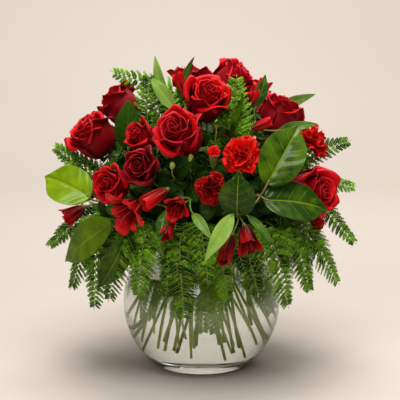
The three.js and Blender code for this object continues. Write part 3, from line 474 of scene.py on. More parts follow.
def turned(gathered, profile, columns, seat=None, ripple=None, tone=0.5):
    """A profile of (out, up) points turned round +Z, closed by a single point where it meets the axis. A
    ripple gives a share by which each point's distance out grows with its angle."""
    profile = np.asarray(profile, float)
    a = np.arange(columns) * 2 * np.pi / columns
    out = profile[1:-1, :1] * (1 + (ripple(a[None], profile[1:-1, 1:]) if ripple else 0 * a[None]))
    up = np.broadcast_to(profile[1:-1, 1:], out.shape)
    rings = np.stack([out * np.cos(a), out * np.sin(a), up], -1)
    steps = len(profile) - 2
    ends = np.array([[0, 0, profile[0, 1]], [0, 0, profile[-1, 1]]])
    points = np.concatenate([rings.reshape(-1, 3), ends])
    if seat is not None:
        points = placed(points, seat)
    gathered.add(points, ring_faces(steps, columns), ring_marks(a, steps, tone), 1.0)


def marked(across, along, tone, shape):
    """Marks of a grid from its three values, spread to its shape."""
    return np.stack([np.broadcast_to(x, shape) for x in (across, along, tone)], -1)


# ---------------------------------------------------------------- flowers, at their own size on +Z


def rose_petals(bloom, count, seed):
    """Petals of a rose as grids (petal, along, across). Petal k stands a golden turn from the last and its
    mouth is wider as k grows. Along it runs a cubic from the hip out and up to the mouth, then an arc that
    rolls outwards, the more so at its sides; across it, the petal spans an angle round the axis, one side
    tucked under the next petal, and its rim falls away from a point in the middle."""
    draw = np.random.default_rng(seed)
    t = (np.arange(count) / (count - 1))[:, None, None]
    v = np.linspace(0, 1, 19)[None, :, None]
    u = np.sin(np.linspace(-np.pi / 2, np.pi / 2, 17))[None, None, :]

    def vary(spread):
        """A value of each petal's own, up to the spread either way."""
        return draw.uniform(-spread, spread, (count, 1, 1))

    flare = bloom["flare"]
    guard = np.clip((t - 0.6) / 0.4, 0, 1)
    mouth = 1.4 + 18.6 * t**0.88 + (0.5 * flare + vary(1.3)) * guard + vary(0.4)
    top = 49 - 4.5 * t**1.6 + vary(1.2)
    lip = 3.5 + 11.5 * t
    roll = -0.5 + 2.35 * t**0.9 + vary(0.3) + 0.05 * flare * guard
    half = np.radians(62 + 80 * (1 - t) ** 2)
    fall = (0.08 + 0.14 * guard) * np.abs(u) ** (2.4 - 0.7 * guard)
    body = np.clip(v / 0.68, 0, 1) * (1 - fall)
    past = np.clip((v - 0.68) / 0.32, 0, 1)

    ends = [(2 + 1.5 * t, 1 + 0 * t), (mouth * 0.75 + 4.5, 1 + 3 * (1 - t)), (mouth * 1.0 + 2.0, top * 0.42),
            (mouth, top - lip)]
    out = bezier(body, *(p[0] for p in ends))
    up = bezier(body, *(p[1] for p in ends))
    way = unit(np.stack([ends[3][0] - ends[2][0], ends[3][1] - ends[2][1]], -1))
    bent = roll * (0.6 + 0.5 * np.abs(u) ** 1.5) * past**1.2
    long = lip * (1 + 0.2 * guard * np.exp(-((u / 0.2) ** 2)) - 0.15 * u**2)
    ahead = long * past * np.sinc(bent / np.pi)
    aside = long * past * np.sin(bent / 2) * np.sinc(bent / 2 / np.pi)
    out = out + ahead * way[..., 0] + aside * way[..., 1]
    up = up + ahead * way[..., 1] - aside * way[..., 0]
    out = out + (0.6 + 1.1 * t) * u * (0.3 + 0.7 * v)
    out = out + (0.4 + 1.2 * t) * v**3 * np.sin(4.8 * u + vary(3.1))
    out = out + 0.7 * guard * v**2 * np.exp(-((u / 0.14) ** 2))
    up = up + (0.4 + 0.9 * t) * v**3 * np.sin(5.5 * u + vary(3.1))

    wide = 0.4 + 0.6 * np.sin(np.clip(body / 0.6, 0, 1) * np.pi / 2)
    wide = wide * (1 - 0.34 * past**2)
    angle = np.arange(count)[:, None, None] * GOLDEN_TURN + vary(0.14) + u * half * wide
    rows = np.stack([out * np.cos(angle), out * np.sin(angle), up], -1) * bloom["size"]
    # Painted shade: a head's dark value raises every petal's tone, which darkens it.
    tone = draw.uniform(0, 1, (count, 1, 1)) + bloom.get("dark", 0.0)
    return rows, marked(u, v, tone, out.shape)


def carnation_petals(size, count, seed, dark=0.0):
    """Petals of a carnation as grids (petal, along, across). Each is a narrow claw that turns out to a lean of
    its own, from upright at the heart to level at the rim, and widens to a fan. The fan waves along its
    normal with waves that grow towards a rim cut into small teeth."""
    draw = np.random.default_rng(seed)
    t = (np.arange(count) / (count - 1))[:, None, None]
    v = np.linspace(0, 1, 11)[None, :, None]
    u = np.linspace(-1, 1, 33)[None, None, :]

    def vary(spread):
        """A value of each petal's own, up to the spread either way."""
        return draw.uniform(-spread, spread, (count, 1, 1))

    lean = np.radians(6 + 86 * t**0.8) + vary(0.42)
    long = 24.6 + 2.5 * t + vary(4.4)
    teeth = np.abs((u * 5.5) % 1 - 0.5) * 2
    reach = v * (1 - 0.07 * teeth * v**5 - 0.16 * u**2 * v**2)
    turn = np.clip((reach - 0.16) / 0.34, 0, 1)
    slope = lean * turn * turn * (3 - 2 * turn)
    step = np.diff(reach, axis=1, prepend=0) * long
    out = 1.2 + np.cumsum(np.sin(slope) * step, axis=1)
    up = -4.0 + np.cumsum(np.cos(slope) * step, axis=1)
    broad = 1.6 + 12.0 * np.clip((reach - 0.2) / 0.8, 0, 1) ** 0.8
    wave = v**1.5 * (4.0 * np.sin(4.6 * u + vary(3.1)) + 1.4 * v * np.sin(10 * u + vary(3.1)))
    wave = wave * (1 - 0.3 * t)
    out = out + wave * np.cos(slope)
    up = up - wave * np.sin(slope)
    angle = np.arange(count)[:, None, None] * GOLDEN_TURN + vary(0.25)
    side = broad * u * (1 - 0.18 * v**3)
    x = out * np.cos(angle) - side * np.sin(angle)
    y = out * np.sin(angle) + side * np.cos(angle)
    rows = np.stack([x, y, up], -1) * size
    # Painted shade: the dark value raises every petal's tone, which darkens it.
    tone = draw.uniform(0, 1, (count, 1, 1)) + dark
    return rows, marked(u, v, tone, out.shape)


def lily_tepals(flower, seed):
    """Six tepals of an alstroemeria as grids: a cubic from the throat out to the belly and on to the tip,
    which turns back as the flower opens; across it, an arc round the axis as wide as the tepal, which is
    widest past its middle and pointed. The inner three are narrower and stand between the outer three."""
    draw = np.random.default_rng(seed)
    k = np.arange(6)[:, None, None]
    inner = (k % 2).astype(float)
    v = np.linspace(0, 1, 18)[None, :, None]
    u = np.sin(np.linspace(-np.pi / 2, np.pi / 2, 11))[None, None, :]
    opened = flower["open"]
    vary = draw.uniform(-1, 1, (6, 1, 1))
    belly = 6.8 + 3.6 * opened
    tip_out = (1.2 + 18.5 * opened) * (1 - 0.22 * inner) + 2.2 * opened * vary
    tip_up = 40 - 5 * opened - 2 * inner + 1.5 * vary
    ends = [(2.2, -1.0), (belly * 1.1, 5.0), (belly * (1.25 - 0.25 * inner), 24.0), (tip_out, tip_up)]
    out = bezier(v, *(p[0] for p in ends))
    up = bezier(v, *(p[1] for p in ends))
    back = opened * np.clip((v - 0.6) / 0.4, 0, 1) ** 2
    out = out + 3.0 * back
    up = up - 6.0 * back
    widest = (10.0 - 3.0 * inner) * (0.7 + 0.3 * opened)
    shape = (0.22 + 0.78 * np.sin(np.clip(v / 0.62, 0, 1) * np.pi / 2) ** 1.3) * np.sqrt(
        np.clip(1 - (np.clip(v - 0.62, 0, 1) / 0.385) ** 2, 0.0004, 1))
    span = np.clip(widest * shape / np.maximum(out, 1), 0, np.radians(64))
    angle = k * np.pi / 3 + draw.uniform(-0.12, 0.12, (6, 1, 1)) + u * span
    out = out - 0.7 * inner + 0.9 * opened * v**2 * np.sin(5 * u + 2 * k)
    out = out - 1.6 * (1 - u**2) * v * (1 - inner) * opened
    rows = np.stack([out * np.cos(angle), out * np.sin(angle), np.broadcast_to(up, angle.shape)], -1)
    # Painted shade: the flower's dark value raises the tone, which darkens its tepals.
    return rows * flower["size"], marked(u, v, 0.25 + 0.5 * inner + flower.get("dark", 0.0), angle.shape)


def stamens(flower):
    """Curved filaments from the throat to beyond the belly, as paths (filament, step)."""
    a = (np.arange(6) * np.pi / 3 + 0.4)[:, None]
    v = np.linspace(0, 1, 9)[None]
    out = 1.0 + 5.5 * flower["open"] * v**1.6
    up = 36 * v - 3 * v**3
    return np.stack([out * np.cos(a), out * np.sin(a), up + 0 * a], -1) * flower["size"]


# ---------------------------------------------------------------- leaves


def leaf_rib(root, tip, up, arch):
    """Axes of a leaf: side and over are square to its length, and its rib is an arch of a given height."""
    along = tip - root
    side = unit(np.cross(along, up))
    over = unit(np.cross(side, along))

    def at(t):
        """Points of the rib at shares of its length."""
        t = np.asarray(t, float)[..., None]
        return root + along * t + over * arch * 4 * t * (1 - t)

    return side, over, at


def salal_width(v):
    """Share of the full width: rounded at the foot, widest below the middle, drawn out to a sharp tip."""
    past = np.clip((v - 0.62) / 0.38, 0, 1)
    ease = past * past * (3 - 2 * past)
    return np.sin(np.pi * np.clip(v, 1e-4, 1 - 1e-4) ** 0.78) ** (0.62 + 0.45 * ease) * (1 - 0.25 * ease)


def lance_width(v):
    """Share of the full width of a narrow leaf: a sine over a quickened run."""
    return np.sin(np.pi * np.clip(v, 1e-4, 1 - 1e-4) ** 0.75) ** 0.9


def toothed_width(v):
    """An oval whose edge is a small saw: each step juts out and then slopes in towards the tip."""
    teeth = (v * 15) % 1
    return np.sin(np.pi * np.clip(v, 1e-4, 1 - 1e-4) ** 0.85) ** 0.7 * (1 - 0.09 * teeth)


def leaf_grid(leaf, root, tip, up, arch, widths, fold, veins, quilt, seed, shape):
    """One leaf as a grid: the rib's arch, moved sideways by the width's share, lifted at its edges by the
    fold, sunk along the rib, raised between its side veins, and waved near the rim."""
    draw = np.random.default_rng(seed)
    side, over, at = leaf_rib(root, tip, up, arch)
    v = np.linspace(0, 1, shape[0])[:, None]
    u = np.sin(np.linspace(-np.pi / 2, np.pi / 2, shape[1]))[None, :]
    w = widths(v)
    vein = (v - 0.2 * np.abs(u) ** 1.15) * veins
    puff = (0.5 - 0.5 * np.cos(2 * np.pi * vein)) * np.sqrt(np.abs(u)) * (1 - u**4)
    lift = fold * np.abs(u) * w + quilt * (puff - 1.2 * np.exp(-((u * w * leaf["width"] / 3.2) ** 2)))
    phase = draw.uniform(0, 6.3, 2)
    lift = lift + 1.4 * u**2 * w * np.sin(7 * v + phase[0] + 2 * np.sign(u))
    lift = lift + 1.0 * np.sin(4.2 * v + phase[1]) * u * w
    rows = at(v) + side * (u * w * leaf["width"] / 2)[..., None] + over * lift[..., None]
    return rows[None], marked(u, v, leaf.get("tone", draw.uniform(0, 1)), (1, *shape))


def leaf_rows(leaf, *form):
    """The grid of a leaf of the layout."""
    return leaf_grid(leaf, spot(*leaf["root"]), spot(*leaf["tip"]), aim(*leaf["up"]), *form)


def leaf_stalk(leaf, arch, stem, share):
    """Path of the stalk from a stem to a leaf's rib."""
    _, _, at = leaf_rib(spot(*leaf["root"]), spot(*leaf["tip"]), aim(*leaf["up"]), arch)
    start, end = at(0.0), at(0.07)
    return stalk_path(stem, share, end, unit(end - start), 10)


def leaflet(*side):
    """Points of a fern's leaflet as along, across and up: its foot, one toothed side, its tip, the other side
    mirrored, then a point over and one under its middle."""
    mirrored = [(along, -across, up) for along, across, up in side[::-1]]
    middle = [(0.45, 0.0, -0.01), (0.45, 0.0, -0.07)]
    return np.array([(0.0, 0.0, 0.0), *side, (1.0, 0.0, -0.06), *mirrored, *middle]).T


LEAFLET = leaflet(
    (0.2, -0.42, 0.0), (0.42, -0.5, 0.03), (0.48, -0.3, 0.0), (0.72, -0.34, 0.03), (0.76, -0.16, 0.0))
# A plainer one, for the fronds that only fill.
SMALL_LEAFLET = leaflet((0.3, -0.5, 0.03), (0.4, -0.32, 0.0), (0.72, -0.34, 0.03))


def frond(gathered, ribs, path, up, spread, seed, bare=0.4, pairs=11, leaflets=11, tone=0.0, blade=LEAFLET):
    """A frond of leatherleaf fern. Pairs of side ribs leave its stalk past a bare share of its length, each
    slanted forwards and sagging; they crowd together and shorten towards the tip. Along each rib stand two
    rows of small toothed leaflets, shorter towards the rib's tip and tilted as one with their rib: closed
    blades of a few points each, sunk along their middle."""
    draw = np.random.default_rng(seed)
    count = len(path)
    length = np.linalg.norm(np.diff(path, axis=0), axis=1).sum()
    along_all = unit(np.gradient(path, axis=0))

    def at(share):
        """Points of the stalk at shares of its length."""
        k = np.clip(share, 0, 1) * (count - 1)
        return np.stack([np.interp(k, np.arange(count), path[:, i]) for i in range(3)], -1)

    hand = np.tile([-1.0, 1.0], pairs)
    order = np.repeat(np.arange(pairs), 2) + np.where(hand > 0, 0.45, 0.1)
    share = bare + (0.975 - bare) * (1 - (1 - order / pairs) ** 1.35)
    t = (share - bare) / (1 - bare)
    reach = (spread * (1 - t) ** 0.85 * np.minimum(1, 0.7 + 1.5 * t) + 3) * draw.uniform(0.9, 1.04, t.size)
    k = np.clip(np.round(share * (count - 1)).astype(int), 0, count - 1)
    side = unit(np.cross(along_all[k], up))
    over = unit(np.cross(side, along_all[k]))
    start = at(share)
    ahead = np.minimum(share + reach * 0.6 / length, 0.995)
    sag = reach * draw.uniform(0.08, 0.24, t.size)
    end = at(ahead) + side * (hand * reach)[:, None] - over * sag[:, None]
    q = np.linspace(0, 1, 5)[None, :, None]
    bow = along_all[k][:, None] * (-0.08 * reach[:, None, None] * 4 * q * (1 - q))
    rise = over[:, None] * (0.07 * reach[:, None, None] * 4 * q * (1 - q))
    curve = start[:, None] * (1 - q) + end[:, None] * q + bow + rise
    tubes(ribs, curve, np.linspace(0.5, 0.2, 5)[None], 4, 0.6)
    tubes(ribs, path[None], np.linspace(1.3, 0.3, count)[None], 7, 0.4)

    f = (np.arange(leaflets) + 0.5) / leaflets
    f = np.concatenate([f, f - 0.2 / leaflets, [0.97]])
    way = np.concatenate([np.ones(leaflets), -np.ones(leaflets), [0.0]])
    fi = f * 4
    i0 = np.minimum(fi.astype(int), 3)
    base = curve[:, i0] + (curve[:, i0 + 1] - curve[:, i0]) * (fi - i0)[None, :, None]
    rib_way = unit(curve[:, i0 + 1] - curve[:, i0])
    tilt = unit(over + along_all[k] * draw.uniform(-0.15, 0.65, (t.size, 1)))
    across = unit(np.cross(tilt[:, None], rib_way))
    out = unit(across * way[None, :, None] * 0.75 + rib_way * np.where(way == 0, 1.0, 0.8)[None, :, None]
               - tilt[:, None] * draw.uniform(-0.05, 0.2, (t.size, f.size, 1)))
    size = (0.25 * reach[:, None] * (1 - f[None] ** 1.3) + 2.4) * draw.uniform(0.88, 1.12, (t.size, f.size))
    flat = unit(np.cross(tilt[:, None], out))
    normal = unit(np.cross(out, flat))
    sx, sy, sz = blade
    scale = size[..., None, None]
    broad = scale * 0.46
    points = (base[:, :, None] + out[:, :, None] * (sx[:, None] * scale)
              + flat[:, :, None] * (sy[:, None] * broad) + normal[:, :, None] * (sz[:, None] * scale))
    points = points.reshape(-1, sx.size, 3)
    loop = np.arange(sx.size - 2)
    onward = np.roll(loop, -1)
    top, low = np.full(loop.size, loop.size), np.full(loop.size, loop.size + 1)
    faces = np.concatenate([np.stack([loop, onward, top], -1), np.stack([onward, loop, low], -1)])
    offset = np.arange(len(points))[:, None, None] * sx.size
    each = draw.uniform(0, 0.45, (t.size, 1)) + draw.uniform(0, 0.35, (t.size, f.size)) + tone
    tones = np.repeat(each.ravel(), sx.size).reshape(-1, sx.size)
    marks = np.stack([np.broadcast_to(sy * 2, tones.shape), np.broadcast_to(sx, tones.shape), tones], -1)
    gathered.add(points, [faces[None] + offset], marks, 1.0)


# ---------------------------------------------------------------- finishes


class Finish:
    """A material whose colour, roughness and fine relief come from nodes."""

    def __init__(self, name, **sockets):
        self.material = bpy.data.materials.new(name)
        self.material.use_nodes = True
        self.tree = self.material.node_tree
        self.shader = self.tree.nodes["Principled BSDF"]
        for socket, value in sockets.items():
            self.shader.inputs[socket.replace("_", " ")].default_value = value

    def node(self, kind, **settings):
        """A new node of a kind, with its settings."""
        made = self.tree.nodes.new(kind)
        for key, value in settings.items():
            setattr(made, key, value)
        return made

    def feed(self, socket, value):
        """Links a socket to the value, or sets it where the value is a constant."""
        if isinstance(value, bpy.types.NodeSocket):
            self.tree.links.new(value, socket)
        else:
            socket.default_value = value

    def marks(self):
        """Sockets of the marks: across, along, tone."""
        return self.parts(self.node("ShaderNodeAttribute", attribute_name="mark").outputs["Vector"])

    def upper(self):
        """1 on the face that the grid's normals point out of, 0 on the other."""
        return self.node("ShaderNodeAttribute", attribute_name="upper").outputs["Fac"]

    def math(self, operation, a, b=0.0):
        """One step of arithmetic on two values."""
        made = self.node("ShaderNodeMath", operation=operation)
        for socket, value in zip(made.inputs, (a, b)):
            self.feed(socket, value)
        return made.outputs[0]

    def times(self, a, b):
        """a multiplied by b."""
        return self.math("MULTIPLY", a, b)

    def plus(self, a, b):
        """a and b added."""
        return self.math("ADD", a, b)

    def parts(self, vector):
        """The three numbers of a vector."""
        split = self.node("ShaderNodeSeparateXYZ")
        self.feed(split.inputs[0], vector)
        return tuple(split.outputs)

    def vector(self, x, y, z):
        """A vector of three values."""
        made = self.node("ShaderNodeCombineXYZ")
        for socket, value in zip(made.inputs, (x, y, z)):
            self.feed(socket, value)
        return made.outputs[0]

    def noise(self, vector, scale, detail=3.0):
        """Soft noise round 0.5."""
        made = self.node("ShaderNodeTexNoise")
        self.feed(made.inputs["Vector"], vector)
        made.inputs["Scale"].default_value = scale
        made.inputs["Detail"].default_value = detail
        return made.outputs["Fac"]

    def place(self):
        """The point's place in its object."""
        return self.node("ShaderNodeTexCoord").outputs["Object"]

    def ramp(self, share, *stops):
        """A colour taken from stops, each a share and a colour."""
        made = self.node("ShaderNodeValToRGB")
        self.feed(made.inputs[0], share)
        band = made.color_ramp.elements
        while len(band) < len(stops):
            band.new(0.5)
        for element, (at, colour) in zip(band, stops):
            element.position = at
            element.color = (*colour, 1.0)
        return made.outputs[0]

    def grey(self, share, low, high, dark, light):
        """A share mapped smoothly from one range to another."""
        made = self.node("ShaderNodeMapRange", interpolation_type="SMOOTHSTEP")
        for socket, value in zip(made.inputs, (share, low, high, dark, light)):
            self.feed(socket, value)
        return made.outputs[0]

    def mix(self, share, a, b):
        """Colour a, turned to colour b by a share."""
        made = self.node("ShaderNodeMix", data_type="RGBA")
        self.feed(made.inputs["Factor"], share)
        for socket, value in zip((made.inputs[6], made.inputs[7]), (a, b)):
            self.feed(socket, (*value, 1.0) if isinstance(value, tuple) else value)
        return made.outputs[2]

    def net(self, vector, scale):
        """Distance to the nearest line of a net of uneven cells."""
        made = self.node("ShaderNodeTexVoronoi", feature="DISTANCE_TO_EDGE")
        self.feed(made.inputs["Vector"], vector)
        made.inputs["Scale"].default_value = scale
        return made.outputs["Distance"]

    def relief(self, height, depth, strength=1.0):
        """Fine relief: a depth in millimetres for each unit of height."""
        made = self.node("ShaderNodeBump")
        made.inputs["Strength"].default_value = strength
        made.inputs["Distance"].default_value = depth * MM
        self.feed(made.inputs["Height"], height)
        self.feed(self.shader.inputs["Normal"], made.outputs[0])

    def colour(self, socket):
        """Sets the base colour and gives the finished material."""
        self.feed(self.shader.inputs["Base Color"], socket)
        return self.material

    def rough(self, value):
        """Sets the roughness."""
        self.feed(self.shader.inputs["Roughness"], value)


def petal_finish(name, foot, outside, inside, rim, sheen, roughness):
    """Velvety petal: its outer face darker and its inner face bright, both darkening towards the foot as
    painted shade deep in the bloom, with faint veins that run along it and a thin paler rim that is a painted
    highlight.
    A high tone darkens it all over, as painted shade on heads that sit in the bouquet's shade."""
    f = Finish(name, Roughness=roughness, Sheen_Weight=sheen, Sheen_Roughness=0.4, Specular_IOR_Level=0.11)
    f.shader.inputs["Sheen Tint"].default_value = (1.0, 0.2, 0.26, 1.0)
    across, along, tone = f.marks()
    veins = f.noise(f.vector(f.times(across, 9.0), along, f.times(tone, 20.0)), 3.0, 4.0)
    run = f.plus(along, f.times(f.math("SUBTRACT", veins, 0.5), 0.35))
    # Painted shade: both faces darken towards the petal's foot, deep in the bloom where shade falls.
    outer = f.ramp(run, (0.15, foot), (0.8, outside))
    inner = f.ramp(run, (0.2, outside), (0.75, inside))
    body = f.mix(f.grey(f.upper(), 0.3, 0.7, 0.0, 1.0), inner, outer)
    # The tone's random share varies the red. A head's dark value raises it further as painted shade, towards
    # the outside colour and then the foot's.
    body = f.mix(f.times(tone, 0.3), body, outside)
    body = f.mix(f.grey(tone, 0.8, 2.6, 0.0, 0.75), body, foot)
    f.relief(f.noise(f.place(), 900.0, 2.0), 0.25, 0.4)
    f.rough(f.grey(veins, 0.3, 0.7, roughness - 0.07, roughness + 0.08))
    # Painted highlight: the last share of the petal's length pales to the rim colour, a lit edge painted on.
    return f.colour(f.mix(f.grey(along, 0.955, 1.0, 0.0, 0.7), body, rim))


def lily_finish(name, red, dark_red, rim, streak):
    """Alstroemeria tepal: red, with pale and dark streaks along it and a green foot. A high tone darkens it,
    as painted shade on flowers that sit in the bouquet's shade.
    """
    f = Finish(name, Roughness=0.42, Specular_IOR_Level=0.15)
    across, along, tone = f.marks()
    run = f.vector(f.times(across, 3.2), f.times(along, 0.5), f.times(tone, 9.0))
    fine = f.noise(run, 2.2, 1.0)
    pale = f.times(f.grey(fine, 0.6, 0.66, 0.0, 0.8), f.grey(along, 0.1, 0.95, 0.9, 0.1))
    dark = f.times(f.grey(fine, 0.42, 0.5, 1.0, 0.0), f.grey(along, 0.2, 0.97, 1.0, 0.3))
    body = f.ramp(along, (0.0, tint(110, 130, 50)), (0.14, tint(150, 40, 30)), (0.4, red), (0.92, rim))
    body = f.mix(dark, body, dark_red)
    # Painted shade: a tone raised by the flower's dark value darkens the whole tepal.
    body = f.mix(f.grey(tone, 0.7, 1.9, 0.0, 0.8), body, dark_red)
    f.relief(fine, 0.4, 0.5)
    return f.colour(f.mix(pale, body, streak))


def leaf_finish(name, dark, light, vein, veins, gloss, under, lines=0.45):
    """Leaf: a paler rib and side veins drawn from its own marks, a fine net between them, patches of lighter
    green, and a duller back."""
    f = Finish(name, Coat_Weight=gloss, Coat_Roughness=0.12, Specular_IOR_Level=0.06)
    across, along, tone = f.marks()
    wide = f.math("ABSOLUTE", across)
    order = f.times(f.math("SUBTRACT", along, f.times(f.math("POWER", wide, 1.15), 0.2)), veins)
    off = f.math("ABSOLUTE", f.math("SUBTRACT", f.math("FRACT", f.plus(order, 0.5)), 0.5))
    side_vein = f.times(f.grey(off, 0.0, 0.07, lines, 0.0), f.grey(wide, 0.45, 0.9, 1.0, 0.1))
    rib = f.grey(wide, 0.012, 0.05, 0.6, 0.0)
    patches = f.noise(f.place(), 55.0, 3.0)
    fine = f.noise(f.place(), 700.0, 2.0)
    shade = f.plus(f.times(patches, 0.5), f.times(tone, 0.6))
    body = f.ramp(shade, (0.25, dark), (0.95, light))
    net = f.grey(f.net(f.place(), 400.0), 0.0, 0.1, 0.32, 0.0)
    body = f.mix(f.times(net, lines), body, light)
    body = f.mix(f.grey(f.upper(), 0.4, 0.6, 0.55, 0.0), body, under)
    dents = f.plus(f.times(side_vein, -2.5), f.times(net, -0.8))
    f.relief(f.plus(fine, dents), 0.35, 0.7)
    f.rough(f.grey(patches, 0.3, 0.7, 0.4, 0.52))
    return f.colour(f.mix(f.math("MAXIMUM", side_vein, rib), body, vein))


def fern_finish(name, dark, light):
    """Fern leaflet: mid green, lighter towards its tip, leathery gloss; painted paler past a tone of 1.4, as on
    the fronds in the water: painted light that stands in for the light reaching them through the glass.
    """
    f = Finish(name, Specular_IOR_Level=0.12)
    _, along, tone = f.marks()
    patches = f.noise(f.place(), 40.0, 2.0)
    shade = f.plus(f.times(tone, 0.95), f.times(patches, 0.4))
    body = f.ramp(shade, (0.38, dark), (0.86, light))
    f.rough(f.grey(patches, 0.3, 0.7, 0.36, 0.5))
    body = f.mix(f.grey(along, 0.5, 1.0, 0.0, 0.2), body, light)
    # Painted light: a tone past 1.4 turns the leaflet to a pale green.
    return f.colour(f.mix(f.grey(tone, 1.4, 1.5, 0.0, 1.0), body, tint(196, 250, 50)))


def stem_finish(name, green, pale, brown, share):
    """Stem: a green of its own between two greens, with brown patches and fine streaks along it, and painted
    paler where it stands in the water inside the bowl: painted light that stands in for the light reaching it
    through the glass."""
    f = Finish(name, Specular_IOR_Level=0.4)
    across, along, tone = f.marks()
    streaks = f.noise(f.vector(f.times(across, 2.0), f.times(along, 14.0), tone), 2.0, 4.0)
    patches = f.noise(f.place(), 60.0, 2.0)
    worn = f.grey(f.plus(streaks, patches), 1.05 - share, 1.5 - share, 0.0, 1.0)
    f.rough(f.grey(streaks, 0.3, 0.7, 0.42, 0.6))
    f.relief(streaks, 0.3, 0.5)
    dry = f.mix(worn, f.mix(tone, green, pale), brown)
    # Painted light: inside the bowl and below the water, the stem turns to paler greens that stand in for the
    # light coming through the glass.
    x, y, z = f.parts(f.place())
    within = f.grey(f.plus(f.times(x, x), f.times(y, y)), 0.0078, 0.0092, 1.0, 0.0)
    painted_light_in_water = f.times(f.grey(z, 0.115, 0.15, 1.0, 0.0), within)
    return f.colour(f.mix(painted_light_in_water, dry, f.mix(worn, tint(226, 255, 40), tint(146, 172, 30))))


def clear_finish(name, colour, ior, speck):
    """Clear glass or water: the shader's own transmission, with the faintest unevenness in its surface."""
    f = Finish(name, Transmission_Weight=1.0, IOR=ior, Roughness=0.0)
    f.shader.inputs["Base Color"].default_value = (*colour, 1.0)
    f.relief(f.noise(f.place(), speck, 2.0), 0.05, 0.15)
    return f.material


# ---------------------------------------------------------------- what a user may change


def length(name, description, default):
    """A length in metres."""
    return bpy.props.FloatProperty(
        name=name, description=description, default=default, min=0.0, unit="LENGTH", subtype="DISTANCE",
        precision=4)


def number(name, description, default, least, most):
    """A number of like parts."""
    return bpy.props.IntProperty(name=name, description=description, default=default, min=least, max=most)


def paint(name, description, default):
    """A colour as light."""
    return bpy.props.FloatVectorProperty(
        name=name, description=description, default=default, min=0.0, max=1.0, size=3, subtype="COLOR")


class BOUQUET_PG_sizes(bpy.types.PropertyGroup):
    """Sizes of the bowl, and numbers of petals, side ribs and sprigs."""

    bowl_radius: length("Bowl radius", "Radius of the ball that the bowl is blown from", 0.1)
    bowl_middle: length("Bowl middle", "Height of the bowl's widest line", 0.081)
    bowl_foot: length("Foot radius", "Radius of the flat foot", 0.057)
    bowl_rim: length("Rim height", "Height of the bowl's rim", 0.16)
    bowl_wall: length("Wall", "Thickness of the glass wall", 0.003)
    bowl_floor: length("Floor", "Thickness of the glass under the water", 0.016)
    water_level: length("Water level", "Height of the water's surface", 0.124)
    petal_thickness: length("Petal thickness", "Thickness of a petal", 0.0004)
    rose_petals: number("Rose petals", "Petals of a rose", 22, 8, 60)
    spray_petals: number("Spray rose petals", "Petals of a spray rose", 17, 8, 60)
    carnation_petals: number("Carnation petals", "Petals of a carnation", 26, 8, 80)
    frond_pairs: number("Frond pairs", "Pairs of side ribs on a frond", 17, 4, 30)
    filler_sprigs: number("Filler sprigs", "Sprigs of small dark leaves inside the dome", 96, 0, 200)


